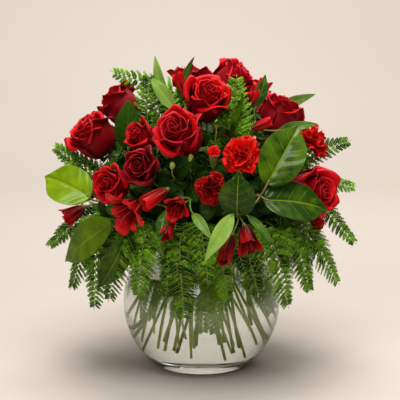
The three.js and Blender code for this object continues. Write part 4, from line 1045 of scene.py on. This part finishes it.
class BOUQUET_PG_colours(bpy.types.PropertyGroup):
    """Colours of petals, leaves, stems, glass and the ground."""

    # Each petal's foot colour is also painted shade deep in the bloom, and its rim colour is a painted
    # highlight along its edge.
    rose_foot: paint("Rose, foot", "Outer face of a rose's petal at its foot", tint(60, 0, 12))
    rose_outside: paint("Rose, outside", "Outer face of a rose's petal", tint(146, 0, 14))
    rose_inside: paint("Rose, inside", "Inner face of a rose's petal", tint(212, 0, 12))
    rose_rim: paint("Rose, rim", "Colour at a rose petal's rim", tint(232, 60, 70))
    spray_foot: paint("Spray rose, foot", "Outer face of a spray rose's petal at its foot", tint(70, 0, 14))
    spray_outside: paint("Spray rose, outside", "Outer face of a spray rose's petal", tint(138, 0, 12))
    spray_inside: paint("Spray rose, inside", "Inner face of a spray rose's petal", tint(200, 0, 14))
    spray_rim: paint("Spray rose, rim", "Colour at a spray rose petal's rim", tint(216, 48, 58))
    carnation_foot: paint("Carnation, foot", "Foot of a carnation's petal", tint(84, 0, 2))
    carnation_outside: paint("Carnation, outside", "Outer face of a carnation's petal", tint(176, 4, 4))
    carnation_inside: paint("Carnation, inside", "Inner face of a carnation's petal", tint(240, 20, 12))
    carnation_rim: paint("Carnation, rim", "Colour at a carnation petal's rim", tint(250, 70, 50))
    lily: paint("Alstroemeria", "Colour of a tepal", tint(150, 0, 8))
    lily_dark: paint("Alstroemeria, dark", "Colour of the dark streaks on a tepal", tint(48, 0, 6))
    lily_rim: paint("Alstroemeria, rim", "Colour at a tepal's rim", tint(214, 6, 10))
    lily_streak: paint("Alstroemeria, streak", "Colour of the pale streaks on a tepal", tint(236, 120, 96))
    salal_dark: paint("Salal, dark", "Darker green of a broad leaf", tint(18, 54, 0))
    salal_light: paint("Salal, light", "Lighter green of a broad leaf", tint(136, 170, 0))
    # The rose leaves' greens are their own deep green made darker still: painted shade for the filler's leaves
    # deep inside the dome.
    leaf_dark: paint("Rose leaf, dark", "Darker green of a rose's leaf", tint(14, 40, 2))
    leaf_light: paint("Rose leaf, light", "Lighter green of a rose's leaf", tint(52, 92, 14))
    lance_dark: paint("Narrow leaf, dark", "Darker green of an alstroemeria's leaf", tint(24, 66, 2))
    lance_light: paint("Narrow leaf, light", "Lighter green of an alstroemeria's leaf", tint(144, 180, 76))
    leaf_vein: paint("Vein", "Colour of a leaf's rib and veins", tint(138, 166, 30))
    fern_dark: paint("Fern, dark", "Darker green of a fern's leaflet", tint(8, 52, 0))
    fern_light: paint("Fern, light", "Lighter green of a fern's leaflet", tint(134, 198, 36))
    stem_green: paint("Stem, green", "Darker green of a stem", tint(58, 96, 18))
    stem_pale: paint("Stem, pale", "Lighter green of a stem", tint(132, 164, 56))
    stem_brown: paint("Stem, brown", "Brown of a stem", tint(100, 86, 36))
    bud: paint("Bud", "Colour of a small bud", tint(176, 184, 80))
    glass: paint("Glass", "Tint of the glass", (0.975, 0.99, 0.99))
    # The water's dim grey-green tint is partly its own murk and partly painted shade, darkening what is seen
    # through the bowl.
    water: paint("Water", "Tint of the water", (0.76, 0.785, 0.75))
    ground: paint("Ground", "Colour of the floor and the backdrop", tint(200, 191, 182))


def sizes():
    """The user's sizes and numbers."""
    return bpy.context.scene.bouquet_sizes


def colours():
    """The user's colours."""
    return bpy.context.scene.bouquet_colours


def hues(*names):
    """The user's colours of these names."""
    return [tuple(getattr(colours(), name)) for name in names]


def look(name, finish, *values):
    """A finish by its name, made the first time that it is asked for."""
    return bpy.data.materials.get(name) or finish(name, *values)


def petal_look(name, kind, sheen, roughness):
    """The finish of a kind of petal, from its four colours."""
    names = (f"{kind}_{part}" for part in ("foot", "outside", "inside", "rim"))
    return look(name, petal_finish, *hues(*names), sheen, roughness)


def stem_look():
    """Green skin of most stems."""
    return look("stem skin", stem_finish, *hues("stem_green", "stem_pale", "stem_brown"), 0.2)


def woody_look():
    """Brown skin of the salal's stems."""
    return look("woody stem", stem_finish, *hues("stem_brown"), tint(140, 116, 62), tint(104, 120, 44), 0.15)


def fern_rib_look():
    """Skin of the fern's stalks and ribs."""
    return look("fern rib", stem_finish, tint(88, 124, 40), tint(150, 174, 72), tint(120, 104, 58), 0.1)


def bud_look():
    """Skin of the small buds."""
    return look("bud skin", stem_finish, *hues("stem_green", "bud"), tint(150, 140, 60), 0.1)


def fern_look():
    """Skin of the fern's leaflets."""
    return look("fern leaflet", fern_finish, *hues("fern_dark", "fern_light"))


def salal_look():
    """Skin of the broad leaves."""
    return look("salal leaf", leaf_finish, *hues("salal_dark", "salal_light", "leaf_vein"), 6.0, 0.28,
                tint(116, 140, 36), 0.25)


def rose_leaf_look():
    """Skin of the roses' leaves and of the filler's."""
    return look("rose leaf", leaf_finish, *hues("leaf_dark", "leaf_light"), tint(80, 116, 40), 7.0, 0.06,
                tint(56, 88, 34), 0.3)


def lance_look():
    """Skin of the alstroemeria's narrow leaves."""
    return look("narrow leaf", leaf_finish, *hues("lance_dark", "lance_light"), tint(158, 196, 90), 3.0, 0.15,
                tint(110, 150, 60), 0.2)


# ---------------------------------------------------------------- green parts


def hip(gathered, seat, size, sepal, seed):
    """A rose's hip, turned from a small profile, and five narrow sepals arched out under the petals."""
    profile = [(0, -13), (2.2, -12.4), (4.4, -10), (5.6, -7), (5.2, -3.6), (4.2, -1.2), (0, -0.4)]
    turned(gathered, np.array(profile) * size, 16, seat, tone=0.2)
    draw = np.random.default_rng(seed)
    v = np.linspace(0, 1, 12)[None, :, None]
    u = np.sin(np.linspace(-np.pi / 2, np.pi / 2, 5))[None, None, :]
    a = (np.arange(5) * 2 * np.pi / 5)[:, None, None] + draw.uniform(-0.15, 0.15, (5, 1, 1))
    out = 3.5 + sepal * v
    up = -3.5 - 4.5 * np.sin(np.pi * v * 0.9) + 2.5 * v**2 + draw.uniform(-2, 1, (5, 1, 1)) * v
    broad = 3.4 * (1 - v) ** 0.7 * (0.7 + 0.5 * np.sin(np.pi * v)) * u
    x = out * np.cos(a) - broad * np.sin(a)
    y = out * np.sin(a) + broad * np.cos(a)
    rows = np.stack([x, y, up + 0.8 * u**2 + 0 * x], -1) * size
    blades(gathered, placed(rows, seat), 0.5, marked(u, v, 0.3, x.shape))


def calyx(gathered, seat):
    """A carnation's green cup, turned from a profile, its mouth waved fivefold by a ripple."""
    profile = [(0, -22), (2.4, -21.6), (3.4, -18), (4.8, -11), (5.4, -5.5), (5.2, -3.2), (0, -4)]
    turned(gathered, profile, 20, seat, lambda a, up: 0.05 * np.cos(5 * a) * (up > -8), 0.7)


def thorns(gathered, path, seed):
    """Small hooked thorns on a rose's stem above the water: cones set square to the stem and bent down."""
    draw = np.random.default_rng(seed)
    k = draw.integers(len(path) // 2, len(path) - 6, 7)
    along = unit(path[k + 1] - path[k])
    turn = draw.uniform(0, 6.3, (len(k), 1))
    side = unit(np.cross(along, [0.0, 0.3, 1.0]))
    out = side * np.cos(turn) + np.cross(along, side) * np.sin(turn)
    q = np.linspace(0, 1, 4)[None, :, None]
    curve = path[k][:, None] + out[:, None] * (1.6 + 3.2 * q) - along[:, None] * (1.6 * q**2)
    tubes(gathered, curve, np.linspace(1.0, 0.12, 4)[None], 6, 0.9)


def stem_tube(gathered, path, radius, sides=12):
    """A stem thinner than its radius, the more so at its cut foot, its tone taken from where it stands."""
    tone = 0.5 + 0.5 * math.sin(path[0][0] * 0.9 + path[0][1] * 1.7)
    tubes(gathered, path[None], radius * np.linspace(0.66, 0.82, len(path))[None], sides, tone)


def seat_of(head, tall, below):
    """Where a head stands, the end of its stem, a given distance below it, and the way it looks."""
    way = aim(*head["face"])
    foot = spot(*head["at"]) - way * tall * 0.45 * head.get("size", 1.0)
    return standing(foot, way, head.get("spin", 0.0)), foot - way * below, way


# ---------------------------------------------------------------- one operator for each kind of piece


class BOUQUET_OT_bowl(bpy.types.Operator):
    """Blow the bubble bowl and fill it with water"""

    bl_idname = "bouquet.bowl"
    bl_label = "Bowl and water"

    def execute(self, context):
        s = sizes()
        radius, middle, foot, rim = (x / MM for x in (s.bowl_radius, s.bowl_middle, s.bowl_foot, s.bowl_rim))
        wall, floor, level = (x / MM for x in (s.bowl_wall, s.bowl_floor, s.water_level))

        def ball(r, low, high, count):
            """Profile of a ball of a radius round the bowl's middle, between two heights."""
            a = np.linspace(math.asin((low - middle) / r), math.asin((high - middle) / r), count)
            return np.stack([r * np.cos(a), middle + r * np.sin(a)], -1)

        seat = middle - math.sqrt(radius**2 - foot**2)
        outer = ball(radius, max(seat, 1.5), rim, 60)
        inner = ball(radius - wall, floor + 1.5, rim, 60)[::-1]
        turn = np.linspace(-0.3, np.pi + 0.3, 8)[:, None]
        centre = (outer[-1] + inner[0]) / 2
        lip = centre + np.hstack([np.cos(turn), np.sin(turn)]) * [[wall / 2, 1.5]]
        under = [(0, 3.0), (18, 2.8), (34, 1.8), (42, 0.8), (47, 0.1)]
        under += [(foot - 6, 0), (foot - 2, 0), (foot - 0.6, 0.4)]
        dome = np.array([(46, 0), (43.5, 0.8), (41.5, 3.4), (38, 4.6), (20, 5.2), (0, 5.4)])
        hollow = [(inner[-1][0] - 3, floor + 0.4), (inner[-1][0] - 8, floor), *(dome + [0, floor])]
        profile = np.concatenate([under, outer, lip, inner, hollow])
        glass_tint, water_tint = hues("glass", "water")
        glass = Surfaces()
        turned(glass, profile, 96)
        glass.piece("bowl_glass", clear_finish("bowl glass", glass_tint, 1.47, 6.0), "glass", "vase")

        side = ball(radius - wall + 0.15, floor + 1.5, level, 60)
        edge, start = side[-1][0], side[0][0]
        surface = [(edge - 1.5, level - 0.6), (edge - 5, level - 0.8), (30, level - 0.8), (0, level - 0.8)]
        bottom = [*(dome[::-1] + [0, floor - 0.15]), (start - 8, floor - 0.15), (start - 3, floor + 0.2)]
        water = Surfaces()
        turned(water, np.concatenate([bottom, side, surface]), 96)
        water.piece("bowl_water", clear_finish("bowl water", water_tint, 1.333, 9.0), "water", "water")
        return {"FINISHED"}


def petal_piece(name, grids, seat, thick, finish, slot, node):
    """The petals of one head, seated, as the piece that replaces its node."""
    rows, marks = grids
    bloom = Surfaces()
    blades(bloom, placed(rows, seat), thick, marks)
    bloom.piece(name, finish, slot, node)


class BOUQUET_OT_roses(bpy.types.Operator):
    """Open the roses, petal by petal, on their stems"""

    bl_idname = "bouquet.roses"
    bl_label = "Roses"

    def execute(self, context):
        petal = petal_look("rose petal", "rose", 0.04, 0.55)
        for i, item in enumerate(ROSES, 1):
            seat, end, way = seat_of(item, 50, 10 * item["size"])
            petal_piece(f"rose_{i:02d}_petals", rose_petals(item, sizes().rose_petals, 100 + i), seat,
                        sizes().petal_thickness / MM, petal, "rose_petal", f"rose_{i:02d}")
            green = Surfaces()
            path = stem_path(item, end, way)
            stem_tube(green, path, STEM_RADIUS["rose"])
            thorns(green, path, 200 + i)
            hip(green, seat, item["size"], 25, 300 + i)
            leaf = item.get("leaf")
            if leaf:
                tubes(green, leaf_stalk(leaf, 7, path, FORK)[None], 1.1, 8)
            green.piece(f"rose_{i:02d}_stem", stem_look(), "stem", f"rose_stem_{i:02d}")
            if leaf:
                blade = Surfaces()
                rows, marks = leaf_rows(leaf, 7, toothed_width, 3, 7.0, 0.5, 400 + i, (91, 25))
                blades(blade, rows, 0.7, marks)
                blade.piece(f"rose_{i:02d}_leaf", rose_leaf_look(), "stem", f"rose_stem_{i:02d}")
        return {"FINISHED"}


class BOUQUET_OT_spray_roses(bpy.types.Operator):
    """Open the small roses on their forked stems"""

    bl_idname = "bouquet.spray_roses"
    bl_label = "Spray roses"

    def execute(self, context):
        petal = petal_look("spray rose petal", "spray", 0.03, 0.55)
        for i, item in enumerate(ROSE_SPRAYS, 1):
            green = Surfaces()
            main = None
            for k, head in enumerate(item["blooms"]):
                seat, end, way = seat_of(head, 50, 10 * head["size"])
                name = f"spray_rose_{i:02d}" + "abc"[k]
                petal_piece(name + "_petals", rose_petals(head, sizes().spray_petals, 500 + 10 * i + k), seat,
                            sizes().petal_thickness / MM, petal, "spray_petal", name)
                if main is None:
                    main = stem_path(item, end, way)
                    stem_tube(green, main, STEM_RADIUS["spray"])
                else:
                    stem_tube(green, stalk_path(main, FORK, end, way), 1.5, 9)
                hip(green, seat, head["size"], 20, 600 + 10 * i + k)
            green.piece(f"spray_rose_{i:02d}_stem", stem_look(), "stem", f"spray_rose_stem_{i:02d}")
        return {"FINISHED"}


class BOUQUET_OT_carnations(bpy.types.Operator):
    """Ruffle the carnations on their stems"""

    bl_idname = "bouquet.carnations"
    bl_label = "Carnations"

    def execute(self, context):
        petal = petal_look("carnation petal", "carnation", 0.0, 0.6)
        for i, item in enumerate(CARNATIONS, 1):
            green, tufts = Surfaces(), Surfaces()
            main = None
            for k, head in enumerate([*item["heads"], *item["buds"]]):
                seat, end, way = seat_of(head, 20, 18)
                if k < len(item["heads"]):
                    name = f"carnation_{i:02d}" + "ab"[k]
                    # A head's dark value is painted shade on its petals.
                    grids = carnation_petals(
                        head["size"], sizes().carnation_petals, 700 + 10 * i + k, head.get("dark", 0.0))
                    petal_piece(name + "_petals", grids, seat, 0.45, petal, "carnation_petal", name)
                else:
                    rows, marks = carnation_petals(0.42, 12, 760 + i)
                    rows[..., 2] += 1.5
                    blades(tufts, placed(rows, seat), 0.4, marks)
                if main is None:
                    main = stem_path(item, end, way)
                    stem_tube(green, main, STEM_RADIUS["carnation"])
                else:
                    stem_tube(green, stalk_path(main, FORK, end, way), 1.3, 9)
                calyx(green, seat)
            green.piece(f"carnation_{i:02d}_stem", stem_look(), "stem", f"carnation_stem_{i:02d}")
            if tufts.count:
                tufts.piece(f"carnation_{i:02d}_bud", petal, "carnation_petal", f"carnation_stem_{i:02d}")
        return {"FINISHED"}


class BOUQUET_OT_alstroemerias(bpy.types.Operator):
    """Open the alstroemeria on their umbels"""

    bl_idname = "bouquet.alstroemerias"
    bl_label = "Alstroemeria"

    def execute(self, context):
        tepal = look("alstroemeria tepal", lily_finish, *hues("lily", "lily_dark", "lily_rim", "lily_streak"))
        for i, item in enumerate(ALSTROEMERIAS, 1):
            node = f"alstroemeria_{i:02d}"
            fork = spot(*item["fork"])
            main = stem_path(item, fork, aim(item["fork"][0], item["fork"][1]))
            flowers, green, leaves = Surfaces(), Surfaces(), Surfaces()
            stem_tube(green, main, STEM_RADIUS["lily"])
            for k, flower in enumerate(item["flowers"]):
                base, way = spot(*flower["at"]), aim(*flower["face"])
                seat = standing(base, way)
                rows, marks = lily_tepals(flower, 800 + 10 * i + k)
                blades(flowers, placed(rows, seat), 0.5, marks)
                if flower["open"] > 0.5:
                    tubes(flowers, placed(stamens(flower), seat), 0.45, 5, 0.8)
                stem_tube(green, stalk_path(main, 1, base + way * 2, way), 1.35, 9)
                cup = np.array([(0, -5), (2.2, -4.4), (3.2, -2), (3.0, 0.6), (0, 1.4)]) * flower["size"]
                turned(green, cup, 12, seat)
            for k, leaf in enumerate(item["leaves"]):
                leaf = {**leaf, "up": (leaf["root"][0] * 0.6, 24)}
                rows, marks = leaf_rows(leaf, 5, lance_width, 1.2, 3.0, 0.15, 900 + 10 * i + k, (40, 17))
                blades(leaves, rows, 0.6, marks)
                tubes(green, leaf_stalk(leaf, 5, main, 1)[None], 1.1, 8)
            flowers.piece(node + "_flowers", tepal, "alstroemeria", node)
            green.piece(node + "_stem", stem_look(), "alstroemeria", node)
            leaves.piece(node + "_leaves", lance_look(), "alstroemeria", node)
        return {"FINISHED"}


class BOUQUET_OT_salal(bpy.types.Operator):
    """Spread the broad glossy leaves on their sprigs"""

    bl_idname = "bouquet.salal"
    bl_label = "Salal"

    def execute(self, context):
        for i, item in enumerate(SALALS, 1):
            node = f"salal_{i:02d}"
            end = spot(*item["end"])
            main = stem_path(item, end, aim(item["end"][0], item["end"][1]))
            green, leaves = Surfaces(), Surfaces()
            stem_tube(green, main, STEM_RADIUS["salal"])
            for k, leaf in enumerate(item["leaves"]):
                near = np.linalg.norm(spot(*leaf["root"]) - end) < 40
                rows, marks = leaf_rows(leaf, 7, salal_width, 3, 6.0, 0.8, 1000 + 10 * i + k, (61, 37))
                blades(leaves, rows, 0.7, marks)
                tubes(green, leaf_stalk(leaf, 7, main, 1 if near else FORK)[None], 1.2, 8)
            green.piece(node + "_stem", woody_look(), "broad_leaf", node)
            leaves.piece(node + "_leaves", salal_look(), "broad_leaf", node)
        return {"FINISHED"}


class BOUQUET_OT_ferns(bpy.types.Operator):
    """Cut the fern fronds into their leaflets"""

    bl_idname = "bouquet.ferns"
    bl_label = "Fern"

    def execute(self, context):
        for i, item in enumerate(FERNS, 1):
            node = f"fern_{i:02d}"
            green, ribs = Surfaces(), Surfaces()
            rise = unit(item["neck"] - item["foot"])
            for k, one in enumerate(item["fronds"]):
                over, tip = spot(*one["over"]), spot(*one["tip"])
                path = frond_path([item["neck"], item["neck"] + rise * 10, over, tip])
                up = aim(*one.get("face", (one["over"][0], 70)))
                frond(green, ribs, path, up, one["spread"], 1100 + 10 * i + k, pairs=sizes().frond_pairs,
                      tone=0.14 * math.sin(5 * i + 3 * k))
            straight = evenly(np.array([item["foot"], item["neck"] + rise * 3]), 12)
            stem_tube(ribs, straight, STEM_RADIUS["fern"], 10)
            green.piece(node + "_leaflets", fern_look(), "fern", node)
            ribs.piece(node + "_ribs", fern_rib_look(), "fern", node)
        return {"FINISHED"}


class BOUQUET_OT_filler(bpy.types.Operator):
    """Fill the dome with small dark leaves, fern and buds, and hang fern over the rim and in the water"""

    bl_idname = "bouquet.filler"
    bl_label = "Filler"

    def execute(self, context):
        draw = np.random.default_rng(1300)
        count = sizes().filler_sprigs
        leaves, stalks = Surfaces(), Surfaces()
        for k in range(count):
            turn = math.degrees(k * GOLDEN_TURN) % 360 - 180
            rise = math.degrees(math.asin(-0.3 + 1.26 * (k + 0.5) / count))
            reach = FILLER_REACH[k % len(FILLER_REACH)] + draw.uniform(-5, 5)
            end, way = spot(turn, rise, reach), aim(turn, rise)
            start = aim(turn, 0) * draw.uniform(8, 36) + [0, 0, NECK - 16]
            path = evenly(cubic(start, start + [0, 0, 30], end - way * 26, end), 24)
            tubes(stalks, path[None], 0.9, 6, draw.uniform(0, 1))
            for share, hand in ((0.7, -1), (0.78, 1), (0.9, -1), (0.95, 1), (1.0, 0)):
                root = path[int(share * 23)]
                off = aim(draw.uniform(-180, 180), draw.uniform(-30, 60))
                side = unit(np.cross(way, off)) * (hand if hand else 0.25)
                tip = root + unit(side * 1.1 + way * draw.uniform(0.1, 0.8)) * draw.uniform(30, 40)
                away = tip - [0, 0, DOME_MIDDLE]
                tip = away * min(1, FILLER_LIMIT / np.linalg.norm(away)) + [0, 0, DOME_MIDDLE]
                leaf = dict(width=draw.uniform(22, 29), tone=draw.uniform(0, 0.7))
                up = way + 0.5 * off
                rows, marks = leaf_grid(leaf, root, tip, up, 4, toothed_width, 2, 7.0, 0.3, 1400 + k, (9, 5))
                blades(leaves, rows, 0.6, marks)
        leaves.piece("filler_leaves", rose_leaf_look(), "broad_leaf")
        stalks.piece("filler_stalks", stem_look(), "stem")

        green, skirt, ribs = Surfaces(), Surfaces(), Surfaces()
        for k, (turn, rise, reach, spread) in enumerate(INNER_FRONDS):
            start = aim(turn, 0) * 20 + [0, 0, NECK]
            over, tip = spot(turn, rise * 0.7, reach * 0.62), spot(turn, rise, reach)
            path = frond_path([start, start + [0, 0, 10], over, tip])
            frond(green, ribs, path, aim(turn, rise - 60), spread, 1500 + k, 0.45, 11, 9, -0.1, SMALL_LEAFLET)
        for k in range(SKIRT_FRONDS):
            turn = k * 360 / SKIRT_FRONDS + draw.uniform(-6, 6)
            start = aim(turn, 0) * 36 + [0, 0, NECK]
            over = spot(turn, -12 + draw.uniform(-5, 5), 106)
            tip = spot(turn + draw.uniform(-8, 8), draw.uniform(-32, -18), draw.uniform(142, 166))
            path = frond_path([start, start + aim(turn, 80) * 8, over, tip])
            tone = draw.uniform(-0.5, 0.15)
            frond(skirt, ribs, path, aim(turn, 60), 26, 1600 + k, 0.34, 13, 9, tone, SMALL_LEAFLET)
        for k in range(DROWNED_FRONDS):
            turn = k * 360 / DROWNED_FRONDS + draw.uniform(-12, 12)
            side = aim(turn + 90, 0) * draw.uniform(-30, 30)
            path = frond_path([aim(turn, 0) * r + side * (124 - z) / 60 + [0, 0, z] for r, z in (
                (34, 124), (48, 112), (66, draw.uniform(88, 98)), (76, draw.uniform(58, 78)))])
            # Their tone of 1.6 paints them paler: painted light for the light that comes through the glass.
            frond(green, ribs, path, aim(turn, 20), 15, 1700 + k, 0.2, 11, 7, 1.6, SMALL_LEAFLET)
        green.piece("inner_fern_leaflets", fern_look(), "fern")
        skirt.piece("skirt_fern_leaflets", fern_look(), "fern")
        ribs.piece("inner_fern_ribs", fern_rib_look(), "fern")

        buds = Surfaces()
        for k, (turn, rise, reach) in enumerate(SMALL_BUDS):
            end, way = spot(turn, rise, reach), aim(turn + 20, rise + 40)
            inside = np.array([spot(turn, rise, reach - 60), spot(turn, rise, reach - 50)])
            path = stalk_path(inside, 1, end, way)
            tubes(buds, path[None], np.linspace(1.1, 0.8, len(path))[None], 7, 0.8)
            profile = np.array([(0, -1), (1.6, 0), (3.2, 3), (3.4, 6), (2.2, 9), (0, 11)])
            turned(buds, profile, 12, standing(end, way), lambda a, up: 0.1 * np.cos(3 * a), 0.8)
        buds.piece("small_buds", bud_look(), "stem")
        return {"FINISHED"}


class BOUQUET_OT_stage(bpy.types.Operator):
    """Lay the pale floor and backdrop, and set the studio light and the camera"""

    bl_idname = "bouquet.stage"
    bl_label = "Stage"

    def execute(self, context):
        scene = context.scene
        a = np.linspace(0, np.pi / 2, 24)
        bend = np.stack([1.6 + 0.9 * np.sin(a), 0.9 - 0.9 * np.cos(a)], -1)
        line = np.concatenate([[(-3.2, 0.0)], [(1.0, 0.0)], bend, [(2.5, 3.4)]])
        x = np.linspace(-3.6, 3.6, 9)
        grid = np.stack(np.broadcast_arrays(x[None, :], line[:, :1], line[:, 1:]), -1)
        m, n = grid.shape[:2]
        ids = np.arange(m * n).reshape(m, n)
        quads = np.stack([ids[:-1, :-1], ids[:-1, 1:], ids[1:, 1:], ids[1:, :-1]], -1).reshape(-1, 4)
        mesh = bpy.data.meshes.new("ground")
        mesh.from_pydata((grid.reshape(-1, 3) - [0, 0, 0.0002]).tolist(), [], quads.tolist())
        mesh.polygons.foreach_set("use_smooth", np.ones(len(quads), bool))
        f = Finish("paper ground", Roughness=0.85, Specular_IOR_Level=0.2)
        cloud = f.times(f.math("SUBTRACT", f.noise(f.place(), 2.0, 2.0), 0.5), 0.2)
        shade = np.array(colours().ground)
        run = f.plus(f.times(f.plus(f.parts(f.place())[1], 0.2), 0.42), cloud)
        # Painted shade: the ground darkens from the front to a band behind and beside the bowl, then pales
        # again towards the backdrop. This stands in for the shadow round the bowl and the light's falloff over
        # the floor.
        mesh.materials.append(f.colour(f.ramp(run, *((at, tuple(shade * k)) for at, k in (
            (0.0, 1.0), (0.15, 0.86), (0.3, 0.83), (0.62, 0.88), (1.0, 0.97))))))
        ground = bpy.data.objects.new("ground", mesh)
        scene.collection.objects.link(ground)

        def lamp(name, at, aimed, size, power, colour):
            """A round soft light at a place, aimed at a point."""
            light = bpy.data.lights.new(name, "AREA")
            light.shape = "DISK"
            light.size = size
            light.energy = power
            light.color = colour
            made = bpy.data.objects.new(name, light)
            made.location = at
            made.rotation_euler = (Vector(aimed) - Vector(at)).to_track_quat("-Z", "Y").to_euler()
            scene.collection.objects.link(made)

        lamp("top softbox", (0.0, -0.75, 1.85), (0, 0, 0.2), 1.1, 30, (1.0, 0.98, 0.95))
        lamp("front softbox", (-0.6, -2.3, 1.3), (0, 0, 0.15), 1.0, 12, (1.0, 0.98, 0.96))
        lamp("back softbox", (0.5, 1.1, 1.5), (0, 0, 0.3), 1.0, 7, (1.0, 0.99, 0.97))
        lamp("backdrop wash", (0, 0.6, 2.6), (0, 2.4, 0.8), 1.6, 80, (1.0, 0.98, 0.96))
        world = bpy.data.worlds.new("studio")
        scene.world = world
        world.use_nodes = True
        world.node_tree.nodes["Background"].inputs[0].default_value = (1.0, 0.94, 0.84, 1.0)
        world.node_tree.nodes["Background"].inputs[1].default_value = 0.19

        camera = bpy.data.cameras.new("camera")
        camera.sensor_width = 36.0
        camera.lens = 104.73
        camera.clip_end = 20.0
        made = bpy.data.objects.new("camera", camera)
        made.location = (-0.0019, -1.4554, 0.4449)
        made.rotation_euler = (math.radians(90 - 9.1), 0, 0)
        scene.collection.objects.link(made)
        scene.camera = made
        scene.view_settings.view_transform = "Standard"
        return {"FINISHED"}


# ---------------------------------------------------------------- panel and registration

PIECE_OPERATORS = [
    BOUQUET_OT_stage,
    BOUQUET_OT_bowl,
    BOUQUET_OT_roses,
    BOUQUET_OT_spray_roses,
    BOUQUET_OT_carnations,
    BOUQUET_OT_alstroemerias,
    BOUQUET_OT_salal,
    BOUQUET_OT_ferns,
    BOUQUET_OT_filler,
]


class BOUQUET_PT_panel(bpy.types.Panel):
    """The pieces of the bouquet, and what may be changed in them"""

    bl_idname = "BOUQUET_PT_panel"
    bl_label = "Bouquet"
    bl_space_type = "VIEW_3D"
    bl_region_type = "UI"
    bl_category = "Bouquet"

    def draw(self, context):
        for operator in PIECE_OPERATORS:
            self.layout.operator(operator.bl_idname)
        for group in (context.scene.bouquet_sizes, context.scene.bouquet_colours):
            column = self.layout.column()
            for key in group.__annotations__:
                column.prop(group, key)


CLASSES = [BOUQUET_PG_sizes, BOUQUET_PG_colours, *PIECE_OPERATORS, BOUQUET_PT_panel]


def register():
    """Make the classes and their settings known."""
    for cls in CLASSES:
        bpy.utils.register_class(cls)
    bpy.types.Scene.bouquet_sizes = bpy.props.PointerProperty(type=BOUQUET_PG_sizes)
    bpy.types.Scene.bouquet_colours = bpy.props.PointerProperty(type=BOUQUET_PG_colours)


def unregister():
    """Take the settings and the classes away again."""
    del bpy.types.Scene.bouquet_colours
    del bpy.types.Scene.bouquet_sizes
    for cls in reversed(CLASSES):
        bpy.utils.unregister_class(cls)


def main():
    """Build every piece and the stage."""
    register()
    place_stems()
    for operator in PIECE_OPERATORS:
        space, name = operator.bl_idname.split(".")
        getattr(getattr(bpy.ops, space), name)()
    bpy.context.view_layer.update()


if __name__ == "__main__":
    main()
